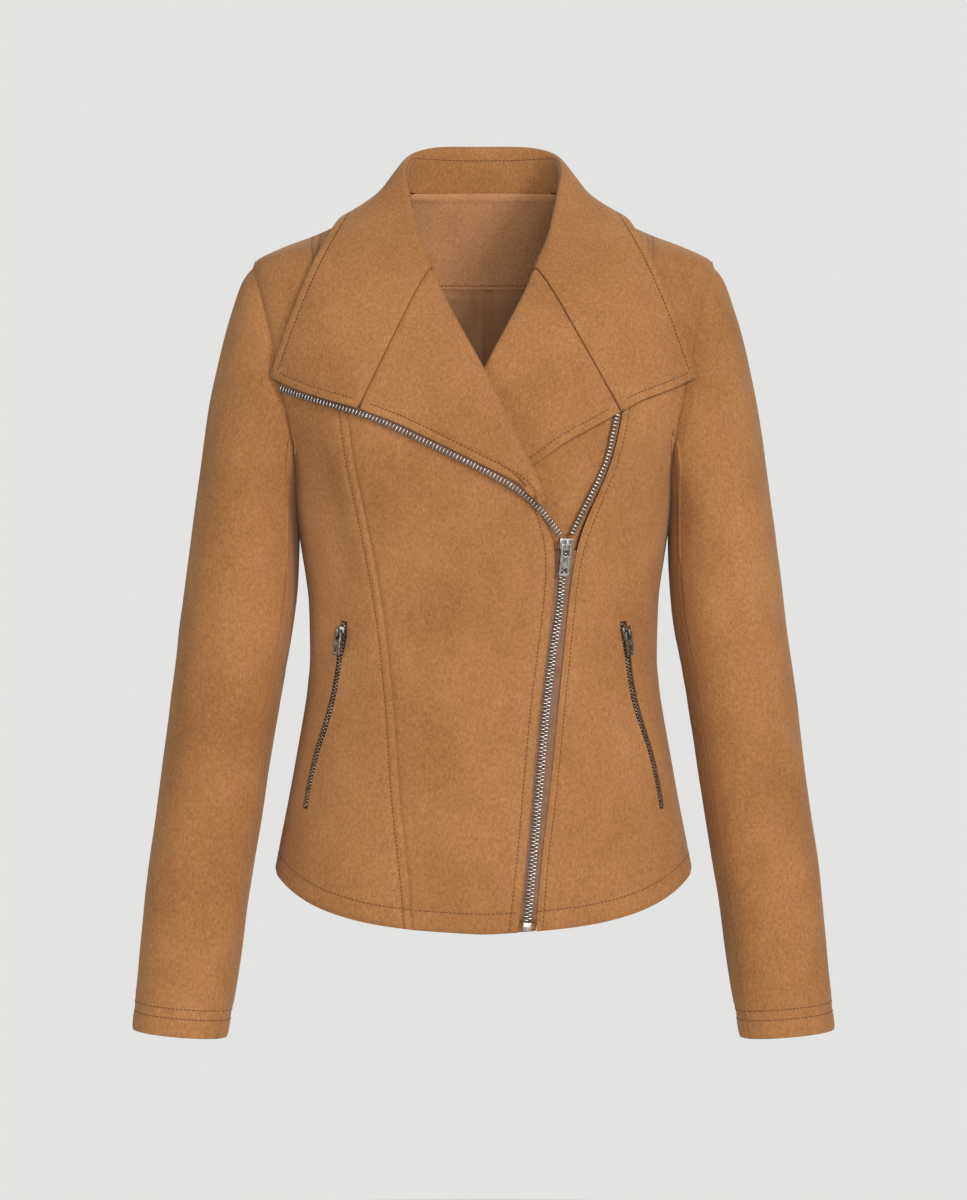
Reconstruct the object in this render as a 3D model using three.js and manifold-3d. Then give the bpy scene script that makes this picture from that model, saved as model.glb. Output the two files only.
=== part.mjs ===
// Asymmetric zip jacket in suede cloth, worn form, millimetres.
// +X is the wearer's left, the front faces -Y and +Z is up.
// The origin is the middle of the neck opening, level with the back neck seam.
import * as THREE from 'three';
import { mergeVertices } from 'three/addons/utils/BufferGeometryUtils.js';
import Module from 'manifold-3d';

// Driving dimensions
const WALL = 1.8;               // suede cloth with its lining
const LINING_WALL = 1.2;
const SEAM_GAP = 0.4;           // between two pieces that are sewn together
const TAPE_WALL = 0.9;          // woven zip tape
const INNER_GAP = 1.7;          // between the cloth and what lies inside it, which has fewer facets
const OVERLAP_SINK = 2.7;       // how far the under front sits below the upper one, taken twice
const EDGE_RISE = 2;            // how far the right front's edge stands off over them
const LAPEL_SINK = 4.6;         // how far the left lapel sinks where the right front covers it
const ARMHOLE_STEPS = 10;       // segments of each half of an armhole
const SIDE_STEPS = 11;          // segments of a side seam
const FRONT_COLUMNS = 8;
const SIDE_FRONT_COLUMNS = 7;
const NECK_ROWS = 5;            // rows of the back that start from the neck curve
const SHOULDER_Z = -60;         // height of the shoulder tip
const SHOULDER_GAP = 0.5;
const PRINCESS_BOTTOM_Z = -584;
const EDGE_BOTTOM_Z = -587;     // hem end of the front edges
const DEGREES = 180 / Math.PI;
const SIDE_NECK_Z = -1;
const UNDERARM_Z = -238;
const SIDE_HEM_Z = -545;
const BICEP_Z = -262;
const PRINCESS_TOP_Z = -39;
const ROLL_START_Z = -74;       // where the collar ends and the lapel begins on the roll line
const FACING_BOTTOM_Z = -73;
const LINING_BOTTOM_Z = -530;
const RIGHT = -1;               // the wearer's right lies at -X
const LEFT = 1;

// Torso sections: half width, front depth, back depth and squareness at each height
const torsoSections = [
  { z: 0, half: 72, front: 8, back: 62, square: 2.1 },
  { z: -20, half: 101, front: 25, back: 70, square: 2.2 },
  { z: -35, half: 129, front: 37, back: 76, square: 2.3 },
  { z: -47, half: 161, front: 46, back: 80, square: 2.4 },
  { z: -60, half: 184, front: 54, back: 84, square: 2.45 },
  { z: -100, half: 187, front: 78, back: 93, square: 2.5 },
  { z: -137, half: 186, front: 93, back: 98, square: 2.5 },
  { z: -167, half: 181, front: 103, back: 99, square: 2.5 },
  { z: -199, half: 168, front: 110, back: 97, square: 2.5 },
  { z: -238, half: 150, front: 108, back: 91, square: 2.5 },
  { z: -280, half: 144, front: 100, back: 83, square: 2.45 },
  { z: -330, half: 136.5, front: 92, back: 78, square: 2.4 },
  { z: -375, half: 137, front: 92, back: 80, square: 2.4 },
  { z: -410, half: 142, front: 95, back: 87, square: 2.4 },
  { z: -450, half: 149, front: 100, back: 95, square: 2.45 },
  { z: -500, half: 158, front: 104, back: 103, square: 2.5 },
  { z: -545, half: 167, front: 106, back: 108, square: 2.5 },
  { z: -600, half: 173, front: 107, back: 110, square: 2.5 },
];

// Hem height round the body: 0 is centre front, 180 centre back
const hemLine = [
  { turn: 0, z: -587.5 },
  { turn: 20, z: -583.5 },
  { turn: 30, z: -580 },
  { turn: 40, z: -573.5 },
  { turn: 50, z: -565.5 },
  { turn: 60, z: -556 },
  { turn: 70, z: -549 },
  { turn: 80, z: -546 },
  { turn: 90, z: SIDE_HEM_Z },
  { turn: 110, z: -548 },
  { turn: 140, z: -558 },
  { turn: 180, z: -562 },
];

// Armhole seam, from the shoulder tip round the front and the back to the underarm
const armholeFront = [
  { at: 0, turn: 90, z: SHOULDER_Z },
  { at: 0.1, turn: 76, z: -69 },
  { at: 0.2, turn: 67, z: -83 },
  { at: 0.3, turn: 62, z: -101 },
  { at: 0.45, turn: 57.5, z: -129 },
  { at: 0.6, turn: 55.3, z: -161 },
  { at: 0.75, turn: 57.5, z: -192 },
  { at: 0.88, turn: 66, z: -221 },
  { at: 1, turn: 90, z: UNDERARM_Z },
];
const armholeBack = [
  { at: 0, turn: 90, z: SHOULDER_Z },
  { at: 0.1, turn: 101, z: -69 },
  { at: 0.2, turn: 109, z: -84 },
  { at: 0.35, turn: 116, z: -113 },
  { at: 0.5, turn: 120, z: -145 },
  { at: 0.65, turn: 121, z: -176 },
  { at: 0.8, turn: 117, z: -205 },
  { at: 0.9, turn: 108, z: -224 },
  { at: 1, turn: 90, z: UNDERARM_Z },
];

// Shaping seams of the fronts: distance from the centre line at each height
const rightPrincess = [
  { z: PRINCESS_TOP_Z, x: 131 },
  { z: -60, x: 129 },
  { z: -100, x: 121 },
  { z: -184, x: 106 },
  { z: -216, x: 102.7 },
  { z: -249, x: 95.8 },
  { z: -275, x: 90.5 },
  { z: -329, x: 80.2 },
  { z: -363, x: 75.8 },
  { z: -419, x: 69.9 },
  { z: -485, x: 65.4 },
  { z: -531, x: 59.9 },
  { z: -584, x: 54.9 },
];
const leftZipSeam = [
  { z: PRINCESS_TOP_Z, x: 131 },
  { z: -62, x: 129 },
  { z: -110, x: 120 },
  { z: -183, x: 108.9 },
  { z: -215, x: 103.5 },
  { z: -231, x: 97.3 },
  { z: -248, x: 90.3 },
  { z: -266, x: 82.2 },
  { z: -283, x: 74.9 },
  { z: -298, x: 70.6 },
  { z: -329, x: 67.6 },
  { z: -407, x: 59.4 },
  { z: -485, x: 51.4 },
  { z: -522, x: 46.3 },
  { z: -585, x: 40.9 },
];

// Neck edge and roll line on the wearer's own side, past the centre where negative
const rollLine = [
  { z: SIDE_NECK_Z, x: 73.5 },
  { z: -14, x: 70 },
  { z: -35, x: 62 },
  { z: -55, x: 52.5 },
  { z: ROLL_START_Z, x: 43 },
  { z: -97.5, x: 32 },
  { z: -124, x: 18.5 },
  { z: -147, x: 6 },
  { z: -183, x: -12 },
  { z: -217, x: -29 },
  { z: -237, x: -37.5 },
  { z: -251, x: -43 },
];
const rightZipEdge = [
  { z: -267.5, x: -49.5 },
  { z: -283, x: -54.8 },
  { z: -291, x: -56.2 },
  { z: -307, x: -55.5 },
  { z: -329, x: -53.6 },
  { z: -418.5, x: -42.5 },
  { z: -507, x: -34.6 },
  { z: -587, x: -26.4 },
];
const underFrontEdge = [
  { z: -267.5, x: -44 },
  { z: -300, x: -42 },
  { z: -400, x: -36 },
  { z: -587, x: -28 },
];

// Lapels: roll point and outer point of each section, from the collar seam to the break
const rightLapelSections = [
  { at: 0, rollZ: ROLL_START_Z, edgeX: 96, edgeZ: -181.5 },
  { at: 0.2, rollZ: -112, edgeX: 66, edgeZ: -192.8 },
  { at: 0.4, rollZ: -150, edgeX: 33, edgeZ: -208.5 },
  { at: 0.6, rollZ: -187, edgeX: 1, edgeZ: -224.7 },
  { at: 0.8, rollZ: -222, edgeX: -27, edgeZ: -239 },
  { at: 0.92, rollZ: -241, edgeX: -35, edgeZ: -246 },
  { at: 1, rollZ: -252, edgeX: -40.5, edgeZ: -253.5 },
];
const leftLapelSections = [
  { at: 0, rollZ: ROLL_START_Z, edgeX: 105.5, edgeZ: -183.8 },
  { at: 0.2, rollZ: -106, edgeX: 84, edgeZ: -195.3 },
  { at: 0.4, rollZ: -140, edgeX: 60, edgeZ: -209 },
  { at: 0.6, rollZ: -172, edgeX: 40, edgeZ: -224.5 },
  { at: 0.8, rollZ: -198, edgeX: 21, edgeZ: -236 },
  { at: 1, rollZ: -218, edgeX: 6, edgeZ: -242 },
];

// Collar, half of it: neck seam, roll and outer edge of each section, from the centre back to the point
const collarSections = [
  {
    at: 0, neckX: 0, neckY: 62, neckZ: 0,
    rollX: 0, rollY: 58, rollZ: 40,
    edgeX: 0, edgeY: 91, edgeZ: -16, hollow: 0,
  },
  {
    at: 0.12, neckX: 30, neckY: 58.5, neckZ: 0,
    rollX: 29, rollY: 54, rollZ: 39.5,
    edgeX: 38, edgeY: 88, edgeZ: -17, hollow: 0,
  },
  {
    at: 0.24, neckX: 54, neckY: 45, neckZ: 0,
    rollX: 52, rollY: 41, rollZ: 35,
    edgeX: 72, edgeY: 72, edgeZ: -17, hollow: 2,
  },
  {
    at: 0.36, neckX: 68, neckY: 24, neckZ: 0,
    rollX: 62, rollY: 22, rollZ: 26,
    edgeX: 95, edgeY: 42, edgeZ: -15, hollow: 4,
  },
  {
    at: 0.48, neckX: 73.5, neckY: 1, neckZ: -1,
    rollX: 63, rollY: 2, rollZ: 16,
    edgeX: 109, edgeY: 6, edgeZ: -20, hollow: 5,
  },
  {
    at: 0.6, neckX: 70, neckY: -13, neckZ: -14,
    rollX: 61, rollY: -14, rollZ: -2,
    edgeX: 118, edgeY: -24, edgeZ: -33, hollow: 4,
  },
  {
    at: 0.72, neckX: 62, neckY: -32, neckZ: -35,
    rollX: 56, rollY: -36, rollZ: -27,
    edgeX: 131, edgeY: -46, edgeZ: -58, hollow: 2,
  },
  {
    at: 0.84, neckX: 55, neckY: -48, neckZ: -50,
    rollX: 51, rollY: -54, rollZ: -47,
    edgeX: 147, edgeY: -60, edgeZ: -101, hollow: 0,
  },
  {
    at: 1, neckX: 50.5, neckY: -57, neckZ: -59,
    rollX: 48, rollY: -62, rollZ: -58,
    edgeX: 164, edgeY: -62, edgeZ: -154.5, hollow: 0,
  },
];
const collarPointSections = [
  { at: 0.4, neckZ: -64, edgeX: 142, edgeZ: -166.5 },
  { at: 0.75, neckZ: -69, edgeX: 119, edgeZ: -174.5 },
];
const COLLAR_COLUMNS = 13;      // of each half, before the point
const COLLAR_LIFT = 3.6;        // visible face of the collar above the body at the least
const EDGE_LIFT = 3.9;          // visible face of the collar and lapels at their outer edge

// Turned edge of a lapel: distance out from the panel's edge and height above its face
const lapelRoll = [
  { out: -1.9, up: -1.8 },
  { out: -3.9, up: -0.7 },
  { out: -4.9, up: 2 },
  { out: -3.4, up: 4.7 },
  { out: 0.4, up: 5.9 },
];

// Sleeves: inner and outer side, middle and depth of each section below the armhole
const sleeveSections = [
  { z: BICEP_Z, outer: 231.8, inner: 149.6, middle: 1, depth: 120 },
  { z: -300, outer: 236.5, inner: 150, middle: 0, depth: 117 },
  { z: -330, outer: 240, inner: 151.2, middle: -1, depth: 114 },
  { z: -381, outer: 246.5, inner: 158, middle: -3, depth: 108 },
  { z: -433, outer: 253, inner: 166, middle: -6, depth: 102 },
  { z: -489, outer: 260, inner: 174, middle: -11, depth: 96 },
  { z: -541, outer: 266.5, inner: 182.5, middle: -16, depth: 90 },
  { z: -599, outer: 272, inner: 190.8, middle: -22, depth: 84 },
  { z: -646, outer: 276, inner: 197, middle: -27, depth: 80 },
  { z: -671.5, outer: 278.6, inner: 202.2, middle: -30, depth: 78 },
];
const SLEEVE_SQUARE = 2.2;
const SLEEVE_RINGS = 12;        // below the bicep
const CAP_RINGS = 6;            // between the armhole and the bicep
const SLEEVE_GAP = 0.9;         // between the armhole seam and the sleeve
const SLEEVE_SEAM_SHIFT = 0.03; // half the gap of a sleeve seam, in armhole segments
const FRONT_SEAM_STEP = 8;      // sleeve seams, counted in armhole segments from the shoulder tip
const HIND_SEAM_STEP = 13;
const CUFF_SLANT = 3.5;         // the cuff is lower on its inner side

// Main zip: middle of the chain where it is closed, and the two open halves
const closedChain = [
  { z: -291.5, x: 63.2 },
  { z: -329, x: 60.4 },
  { z: -374, x: 53.7 },
  { z: -423, x: 48 },
  { z: -474, x: 43.5 },
  { z: -524, x: 39 },
  { z: -577.5, x: 34 },
];
const rightOpenChain = [
  { at: 0, x: -157.6, z: -163.8 },
  { at: 0.1, x: -137.4, z: -171.8 },
  { at: 0.22, x: -112.2, z: -179.8 },
  { at: 0.36, x: -79.3, z: -191.2 },
  { at: 0.44, x: -60.5, z: -199.9 },
  { at: 0.82, x: 28.1, z: -245.4 },
  { at: 0.88, x: 38.7, z: -253.8 },
  { at: 0.94, x: 49.3, z: -265.5 },
  { at: 1, x: 58.6, z: -278.6 },
];
const leftOpenChain = [
  { at: 0, x: 104.2, z: -185 },
  { at: 0.14, x: 100.8, z: -199.4 },
  { at: 0.3, x: 97.5, z: -216.4 },
  { at: 0.43, x: 92.5, z: -229.5 },
  { at: 0.56, x: 87.1, z: -241.5 },
  { at: 0.72, x: 80.1, z: -255.1 },
  { at: 1, x: 68.4, z: -278.8 },
];
const CHAIN_WIDTH = 6.5;
const HALF_CHAIN_WIDTH = 4.2;
const CHAIN_THICK = 2.4;
const OPEN_CHAIN_THICK = CHAIN_THICK - 0.6;
const CHAIN_GAP = 0.3;          // between a chain and its tape
const CLOSED_TAPE_REACH = 12;   // from the chain's middle, under the cloth
const OPEN_TAPE_REACH = 8;      // from the teeth back under the lapel
const TAPE_LIFT = -3.4;         // underside of the closed tape below the cloth's face
const SLIDER_X = 63.8;
const SLIDER_Z = -286;

// Pocket zips: middle line of the slit
const pocketLine = [
  { at: 0, x: 109.8, z: -346 },
  { at: 0.22, x: 114, z: -380 },
  { at: 0.32, x: 116, z: -394 },
  { at: 0.46, x: 120.8, z: -414 },
  { at: 0.59, x: 126.4, z: -432 },
  { at: 0.7, x: 131.4, z: -447 },
  { at: 0.79, x: 134.6, z: -460 },
  { at: 0.89, x: 138, z: -475 },
  { at: 1, x: 141, z: -493 },
];
const POCKET_SLIT = 6.8;
const POCKET_TAPE = 11.5;
const POCKET_CHAIN = 4;
const POCKET_CHAIN_THICK = 1;
const POCKET_TAPE_GAP = 1.3;    // between the cloth and the tape behind it
const POCKET_STEPS = 10;
const CUT_DEPTH = 3.6;
const POCKET_SLIDER_AT = 0.06;

// Sliders and their pull tabs, in each slider's own frame
const mainSlider = {
  width: 11, length: 9.4, bottom: -1.6, top: 2.6, neck: 11, bridge: 2.4, pivot: 3.8,
  tabWidth: 8.3, tabLength: 25, window: 5.1, windowLength: 8, hole: 4.6, tilt: 4,
};
const pocketSlider = {
  width: 8.2, length: 10.5, bottom: 0.5, top: 2.7, neck: 3, bridge: 2, pivot: 3.9,
  tabWidth: 6.6, tabLength: 17.5, window: 4, windowLength: 6, hole: 3.4, tilt: 3,
};
const TAB_THICK = 1.4;
const TAB_BAR = 0.8;            // half the height of the tab's cross bar
const BRIDGE_THICK = 1;
const BRIDGE_REACH = 3.2;
const BRIDGE_CLEARANCE = 1.3;
const TAPE_PARTING = 0.2;       // half the gap between the two closed tapes
const RETAINER = { width: 6.7, length: 6.4, thick: 3, x: 33.6, z: -581.6 };

const wasm = await Module();
wasm.setup();

const jacket = new THREE.Group();

const finishes = {
  suede: new THREE.MeshStandardMaterial({ color: 0xb0794a, roughness: 0.95, metalness: 0 }),
  suedeInside: new THREE.MeshStandardMaterial({ color: 0x9a6b43, roughness: 0.95, metalness: 0 }),
  lining: new THREE.MeshStandardMaterial({ color: 0x7d5638, roughness: 0.45, metalness: 0 }),
  tape: new THREE.MeshStandardMaterial({ color: 0x8f6347, roughness: 0.9, metalness: 0 }),
  metal: new THREE.MeshStandardMaterial({ color: 0x9c958a, roughness: 0.38, metalness: 1 }),
  darkMetal: new THREE.MeshStandardMaterial({ color: 0x5c5650, roughness: 0.4, metalness: 1 }),
};

// Smooth curve through one column of a table, with no overshoot between its rows
function column(rows, key, name) {
  const sorted = [...rows].sort((a, b) => a[key] - b[key]);
  const places = sorted.map((row) => row[key]);
  const values = sorted.map((row) => row[name]);
  const slopes = places.slice(1).map((p, i) => (values[i + 1] - values[i]) / (p - places[i]));
  const tangents = values.map((_, i) => {
    const before = slopes[Math.max(0, i - 1)];
    const after = slopes[Math.min(slopes.length - 1, i)];
    return before * after > 0 ? (2 * before * after) / (before + after) : 0;
  });
  tangents[0] = slopes[0];
  tangents[values.length - 1] = slopes[slopes.length - 1];
  return (place) => {
    const clamped = THREE.MathUtils.clamp(place, places[0], places[places.length - 1]);
    let i = 0;
    while (i < places.length - 2 && clamped > places[i + 1]) i += 1;
    const span = places[i + 1] - places[i];
    const t = (clamped - places[i]) / span;
    const t2 = t * t;
    const t3 = t2 * t;
    return values[i] * (2 * t3 - 3 * t2 + 1) + values[i + 1] * (3 * t2 - 2 * t3)
      + span * (tangents[i] * (t3 - 2 * t2 + t) + tangents[i + 1] * (t3 - t2));
  };
}

const torso = {
  half: column(torsoSections, 'z', 'half'),
  front: column(torsoSections, 'z', 'front'),
  back: column(torsoSections, 'z', 'back'),
  square: column(torsoSections, 'z', 'square'),
};
const hemHeight = column(hemLine, 'turn', 'z');
const rollX = column([...rollLine, rightZipEdge[0]], 'z', 'x');

const radians = THREE.MathUtils.degToRad;
const lerp = THREE.MathUtils.lerp;
const smooth = (value, low, high) => THREE.MathUtils.smoothstep(value, low, high);

// Point of the body's outer surface. The turn is 0 at centre front, 90 at +X, 180 at centre back.
function torsoPoint(turn, z) {
  const s = Math.sin(radians(turn));
  const c = Math.cos(radians(turn));
  const n = torso.square(z);
  const r = (Math.abs(s) ** n + Math.abs(c) ** n) ** (-1 / n);
  const depth = c > 0 ? torso.front(z) : torso.back(z);
  return new THREE.Vector3(torso.half(z) * r * s, -depth * r * c, z);
}

function torsoNormal(turn, z) {
  const step = 0.4;
  const round = torsoPoint(turn + step, z).sub(torsoPoint(turn - step, z));
  const upper = Math.min(0, z + step);
  const rise = torsoPoint(turn, upper).sub(torsoPoint(turn, upper - 2 * step));
  return round.cross(rise).normalize();
}

// Turn of the front point that lies at this distance from the centre line
function frontTurn(x, z) {
  const n = torso.square(z);
  const share = Math.min(0.9999, (Math.abs(x) / torso.half(z)) ** n);
  return Math.sign(x) * THREE.MathUtils.radToDeg(Math.atan((share / (1 - share)) ** (1 / n)));
}

function chestPoint(x, z, lift) {
  const turn = frontTurn(x, z);
  return torsoPoint(turn, z).addScaledVector(torsoNormal(turn, z), lift);
}

// Signed distance-like measure of a point outside the body's surface
function torsoClearance(point) {
  const measure = (p) => {
    const z = Math.min(0, p.z);
    const n = torso.square(z);
    const depth = p.y < 0 ? torso.front(z) : torso.back(z);
    return ((Math.abs(p.x) / torso.half(z)) ** n + (Math.abs(p.y) / depth) ** n) ** (1 / n) - 1;
  };
  const step = 0.3;
  const slope = new THREE.Vector3(...['x', 'y', 'z'].map((axis) => {
    const ahead = point.clone();
    const behind = point.clone();
    ahead[axis] += step;
    behind[axis] -= step;
    return (measure(ahead) - measure(behind)) / (2 * step);
  }));
  const steepness = slope.length();
  return { distance: measure(point) / steepness, away: slope.divideScalar(steepness) };
}

function pushClear(point, lift) {
  for (let pass = 0; pass < 6; pass += 1) {
    const { distance, away } = torsoClearance(point);
    if (distance < lift) point.addScaledVector(away, lift - distance);
  }
  return point;
}

// Closed wall between a grid of outer points and its inner copy. Inner points may be given.
function wallGeometry(outer, thickness, innerOf) {
  const rows = outer.length;
  const cols = outer[0].length;
  const inner = outer.map((row, i) => row.map((point, j) => {
    if (innerOf) return innerOf(i, j, point);
    const along = outer[Math.min(rows - 1, i + 1)][j].clone().sub(outer[Math.max(0, i - 1)][j]);
    const across = row[Math.min(cols - 1, j + 1)].clone().sub(row[Math.max(0, j - 1)]);
    return point.clone().addScaledVector(along.cross(across).normalize(), -thickness);
  }));
  const points = [...outer.flat(), ...inner.flat()];
  const id = (layer, i, j) => layer * rows * cols + i * cols + j;
  const faces = [];
  const quad = (a, b, c, d) => faces.push(a, b, c, a, c, d);
  for (let i = 0; i < rows - 1; i += 1) {
    for (let j = 0; j < cols - 1; j += 1) {
      const falling = outer[i][j].distanceTo(outer[i + 1][j + 1]);
      const rising = outer[i + 1][j].distanceTo(outer[i][j + 1]);
      if (falling <= rising) {
        quad(id(0, i, j), id(0, i + 1, j), id(0, i + 1, j + 1), id(0, i, j + 1));
        quad(id(1, i, j), id(1, i, j + 1), id(1, i + 1, j + 1), id(1, i + 1, j));
      } else {
        quad(id(0, i + 1, j), id(0, i + 1, j + 1), id(0, i, j + 1), id(0, i, j));
        quad(id(1, i, j + 1), id(1, i + 1, j + 1), id(1, i + 1, j), id(1, i, j));
      }
    }
  }
  for (let i = 0; i < rows - 1; i += 1) {
    quad(id(0, i, 0), id(1, i, 0), id(1, i + 1, 0), id(0, i + 1, 0));
    quad(id(0, i, cols - 1), id(0, i + 1, cols - 1), id(1, i + 1, cols - 1), id(1, i, cols - 1));
  }
  for (let j = 0; j < cols - 1; j += 1) {
    quad(id(0, 0, j), id(0, 0, j + 1), id(1, 0, j + 1), id(1, 0, j));
    quad(id(0, rows - 1, j), id(1, rows - 1, j), id(1, rows - 1, j + 1), id(0, rows - 1, j + 1));
  }
  return closedGeometry(points, faces);
}

function closedGeometry(points, faces) {
  let volume = 0;
  for (let f = 0; f < faces.length; f += 3) {
    const [a, b, c] = faces.slice(f, f + 3).map((k) => points[k]);
    volume += a.dot(b.clone().cross(c));
  }
  const turned = volume < 0 ? [...faces].reverse() : faces;
  const geometry = new THREE.BufferGeometry().setFromPoints(points);
  geometry.setIndex(turned);
  geometry.computeVertexNormals();
  return geometry;
}

function solidOf(geometry) {
  const bare = geometry.clone();
  bare.deleteAttribute('normal');
  bare.deleteAttribute('uv');
  const merged = mergeVertices(bare, 1e-4);
  return new wasm.Manifold(new wasm.Mesh({
    numProp: 3,
    vertProperties: new Float32Array(merged.attributes.position.array),
    triVerts: new Uint32Array(merged.index.array),
  }));
}

function geometryOf(solid) {
  const mesh = solid.getMesh();
  const geometry = new THREE.BufferGeometry();
  geometry.setAttribute('position', new THREE.BufferAttribute(mesh.vertProperties, mesh.numProp));
  geometry.setIndex(new THREE.BufferAttribute(mesh.triVerts, 1));
  geometry.computeVertexNormals();
  return geometry;
}

const unite = (geometries) => geometryOf(geometries.map(solidOf).reduce((sum, next) => sum.add(next)));

function addPiece(name, geometry, finish) {
  const piece = new THREE.Mesh(geometry, finish.clone());
  piece.name = name;
  jacket.add(piece);
  return piece;
}

// Patch between four border curves, each a list of {turn, z}
function bordered(top, bottom, first, last) {
  const rows = first.length;
  const cols = top.length;
  const blend = (name, i, j) => {
    const v = i / (rows - 1);
    const u = j / (cols - 1);
    const sides = lerp(first[i][name], last[i][name], u);
    const ends = lerp(top[j][name], bottom[j][name], v);
    const upper = lerp(top[0][name], top[cols - 1][name], u);
    const lower = lerp(bottom[0][name], bottom[cols - 1][name], u);
    return sides + ends - lerp(upper, lower, v);
  };
  return first.map((_, i) => top.map((__, j) => ({ turn: blend('turn', i, j), z: blend('z', i, j) })));
}

// Cloth panel on the body. The lift of each point tells how far it stands off the surface.
function panelGeometry(grid, side, thickness, liftAt) {
  const normals = grid.map((row) => row.map((spot) => torsoNormal(spot.turn, spot.z)));
  const outer = grid.map((row, i) => row.map((spot, j) => {
    const point = torsoPoint(spot.turn, spot.z);
    point.addScaledVector(normals[i][j], liftAt(point, i, j));
    return point;
  }));
  const mirrored = (vector) => new THREE.Vector3(side * vector.x, vector.y, vector.z);
  const placed = outer.map((row) => row.map(mirrored));
  return wallGeometry(placed, thickness, (i, j, point) => point.clone()
    .addScaledVector(mirrored(normals[i][j]), -thickness));
}

const flat = () => 0;
const ridgeTurn = 90;

function samples(count, make) {
  return Array.from({ length: count + 1 }, (_, i) => make(i / count, i));
}

// Heights of the rows of every panel: the armhole part first, then the side seam part
const totalRows = ARMHOLE_STEPS + SIDE_STEPS;
const BACK_CROWDING = 1.15;
const TOP_CROWDING = 1.3;       // rows lie closer together over the curve of the shoulder
function rowHeights(top, bottom) {
  const middle = UNDERARM_Z - 12;
  return samples(totalRows, (_, i) => (i <= ARMHOLE_STEPS
    ? lerp(top, middle, (i / ARMHOLE_STEPS) ** TOP_CROWDING)
    : lerp(middle, bottom, (i - ARMHOLE_STEPS) / SIDE_STEPS)));
}

const armholeCurve = {
  front: { turn: column(armholeFront, 'at', 'turn'), z: column(armholeFront, 'at', 'z') },
  back: { turn: column(armholeBack, 'at', 'turn'), z: column(armholeBack, 'at', 'z') },
};

function armholeAndSide(half) {
  const inset = half === 'front' ? -1 : 1;
  const curve = armholeCurve[half];
  return samples(totalRows, (_, i) => {
    const at = Math.min(1, i / ARMHOLE_STEPS);
    const down = Math.max(0, (i - ARMHOLE_STEPS) / SIDE_STEPS);
    const z = down > 0 ? lerp(UNDERARM_Z, SIDE_HEM_Z, down) : curve.z(at);
    const gap = SEAM_GAP / 2 / torso.half(z) * DEGREES;
    return { turn: curve.turn(at) + inset * gap, z: z - (at < 1 ? 0 : SEAM_GAP) * (1 - down) };
  });
}

// Front panels, on the +X side: from the front edge to the shaping seam, and on to the side
function seamSpots(rows, inset) {
  const across = column(rows, 'z', 'x');
  return rowHeights(PRINCESS_TOP_Z, PRINCESS_BOTTOM_Z).map((z, i) => {
    if (i === 0) return { turn: ridgeTurn, z: ridgeHeight(across(z) + inset) };
    return { turn: frontTurn(across(z) + inset, z), z };
  });
}

function ridgeHeight(x) {
  let low = SHOULDER_Z;
  let high = 0;
  for (let pass = 0; pass < 40; pass += 1) {
    const middle = (low + high) / 2;
    if (torso.half(middle) > x) low = middle;
    else high = middle;
  }
  return (low + high) / 2;
}

function ridgeSpots(fromX, toX, count) {
  return samples(count, (t) => ({ turn: ridgeTurn, z: ridgeHeight(lerp(fromX, toX, t)) }));
}

function hemSpots(from, to, count) {
  return samples(count, (t) => {
    const turn = lerp(from.turn, to.turn, t);
    return { turn, z: hemHeight(Math.abs(turn)) };
  });
}

function sideFrontGeometry(side, seamRows) {
  const inner = seamSpots(seamRows, SEAM_GAP / 2);
  const outer = armholeAndSide('front');
  const last = inner.length - 1;
  inner[last].z = hemHeight(inner[last].turn);
  const top = ridgeSpots(torsoPoint(ridgeTurn, inner[0].z).x, torso.half(SHOULDER_Z), SIDE_FRONT_COLUMNS);
  const bottom = hemSpots(inner[last], outer[last], SIDE_FRONT_COLUMNS);
  outer[0] = { ...top[SIDE_FRONT_COLUMNS] };
  inner[0] = { ...top[0] };
  bottom[0] = { ...inner[last] };
  bottom[SIDE_FRONT_COLUMNS] = { ...outer[last] };
  return panelGeometry(setForward(bordered(top, bottom, inner, outer)), side, WALL, flat);
}

// Moves a panel's shoulder row a little to the front, to leave the seam's gap
function setForward(grid) {
  grid[0].forEach((spot) => {
    spot.turn -= SHOULDER_GAP / 2 / torso.front(spot.z) * DEGREES;
  });
  return grid;
}

function frontGeometry(side, seamRows, edgeRows, liftAt) {
  const seam = seamSpots(seamRows, -SEAM_GAP / 2);
  const edgeX = column([...rollLine, ...edgeRows], 'z', 'x');
  const last = seam.length - 1;
  seam[last].z = hemHeight(seam[last].turn);
  const edge = rowHeights(SIDE_NECK_Z, EDGE_BOTTOM_Z).map((z) => ({ turn: frontTurn(edgeX(z), z), z }));
  const top = ridgeSpots(rollLine[0].x, torsoPoint(ridgeTurn, seam[0].z).x, FRONT_COLUMNS);
  edge[0] = { ...top[0] };
  seam[0] = { ...top[FRONT_COLUMNS] };
  const bottom = hemSpots(edge[last], seam[last], FRONT_COLUMNS);
  edge[last] = { ...bottom[0] };
  seam[last] = { ...bottom[FRONT_COLUMNS] };
  return panelGeometry(setForward(bordered(top, bottom, edge, seam)), side, WALL, liftAt);
}

// How far a spot lies under the wearer's right front: 0 clear of it, 1 well under it
function underRight(x, z) {
  const edge = column([...rollLine, ...rightZipEdge], 'z', 'x');
  const past = x + edge(z);
  return 1 - smooth(past, 8, 34);
}

// Raises the upper front where the other front and its lapel pass under it
function rightFrontLift(point) {
  const reach = 1 - smooth(point.x, -10, 60);
  return EDGE_RISE * reach * smooth(-point.z, 110, 160) * (1 - smooth(-point.z, 285, 330));
}

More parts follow.
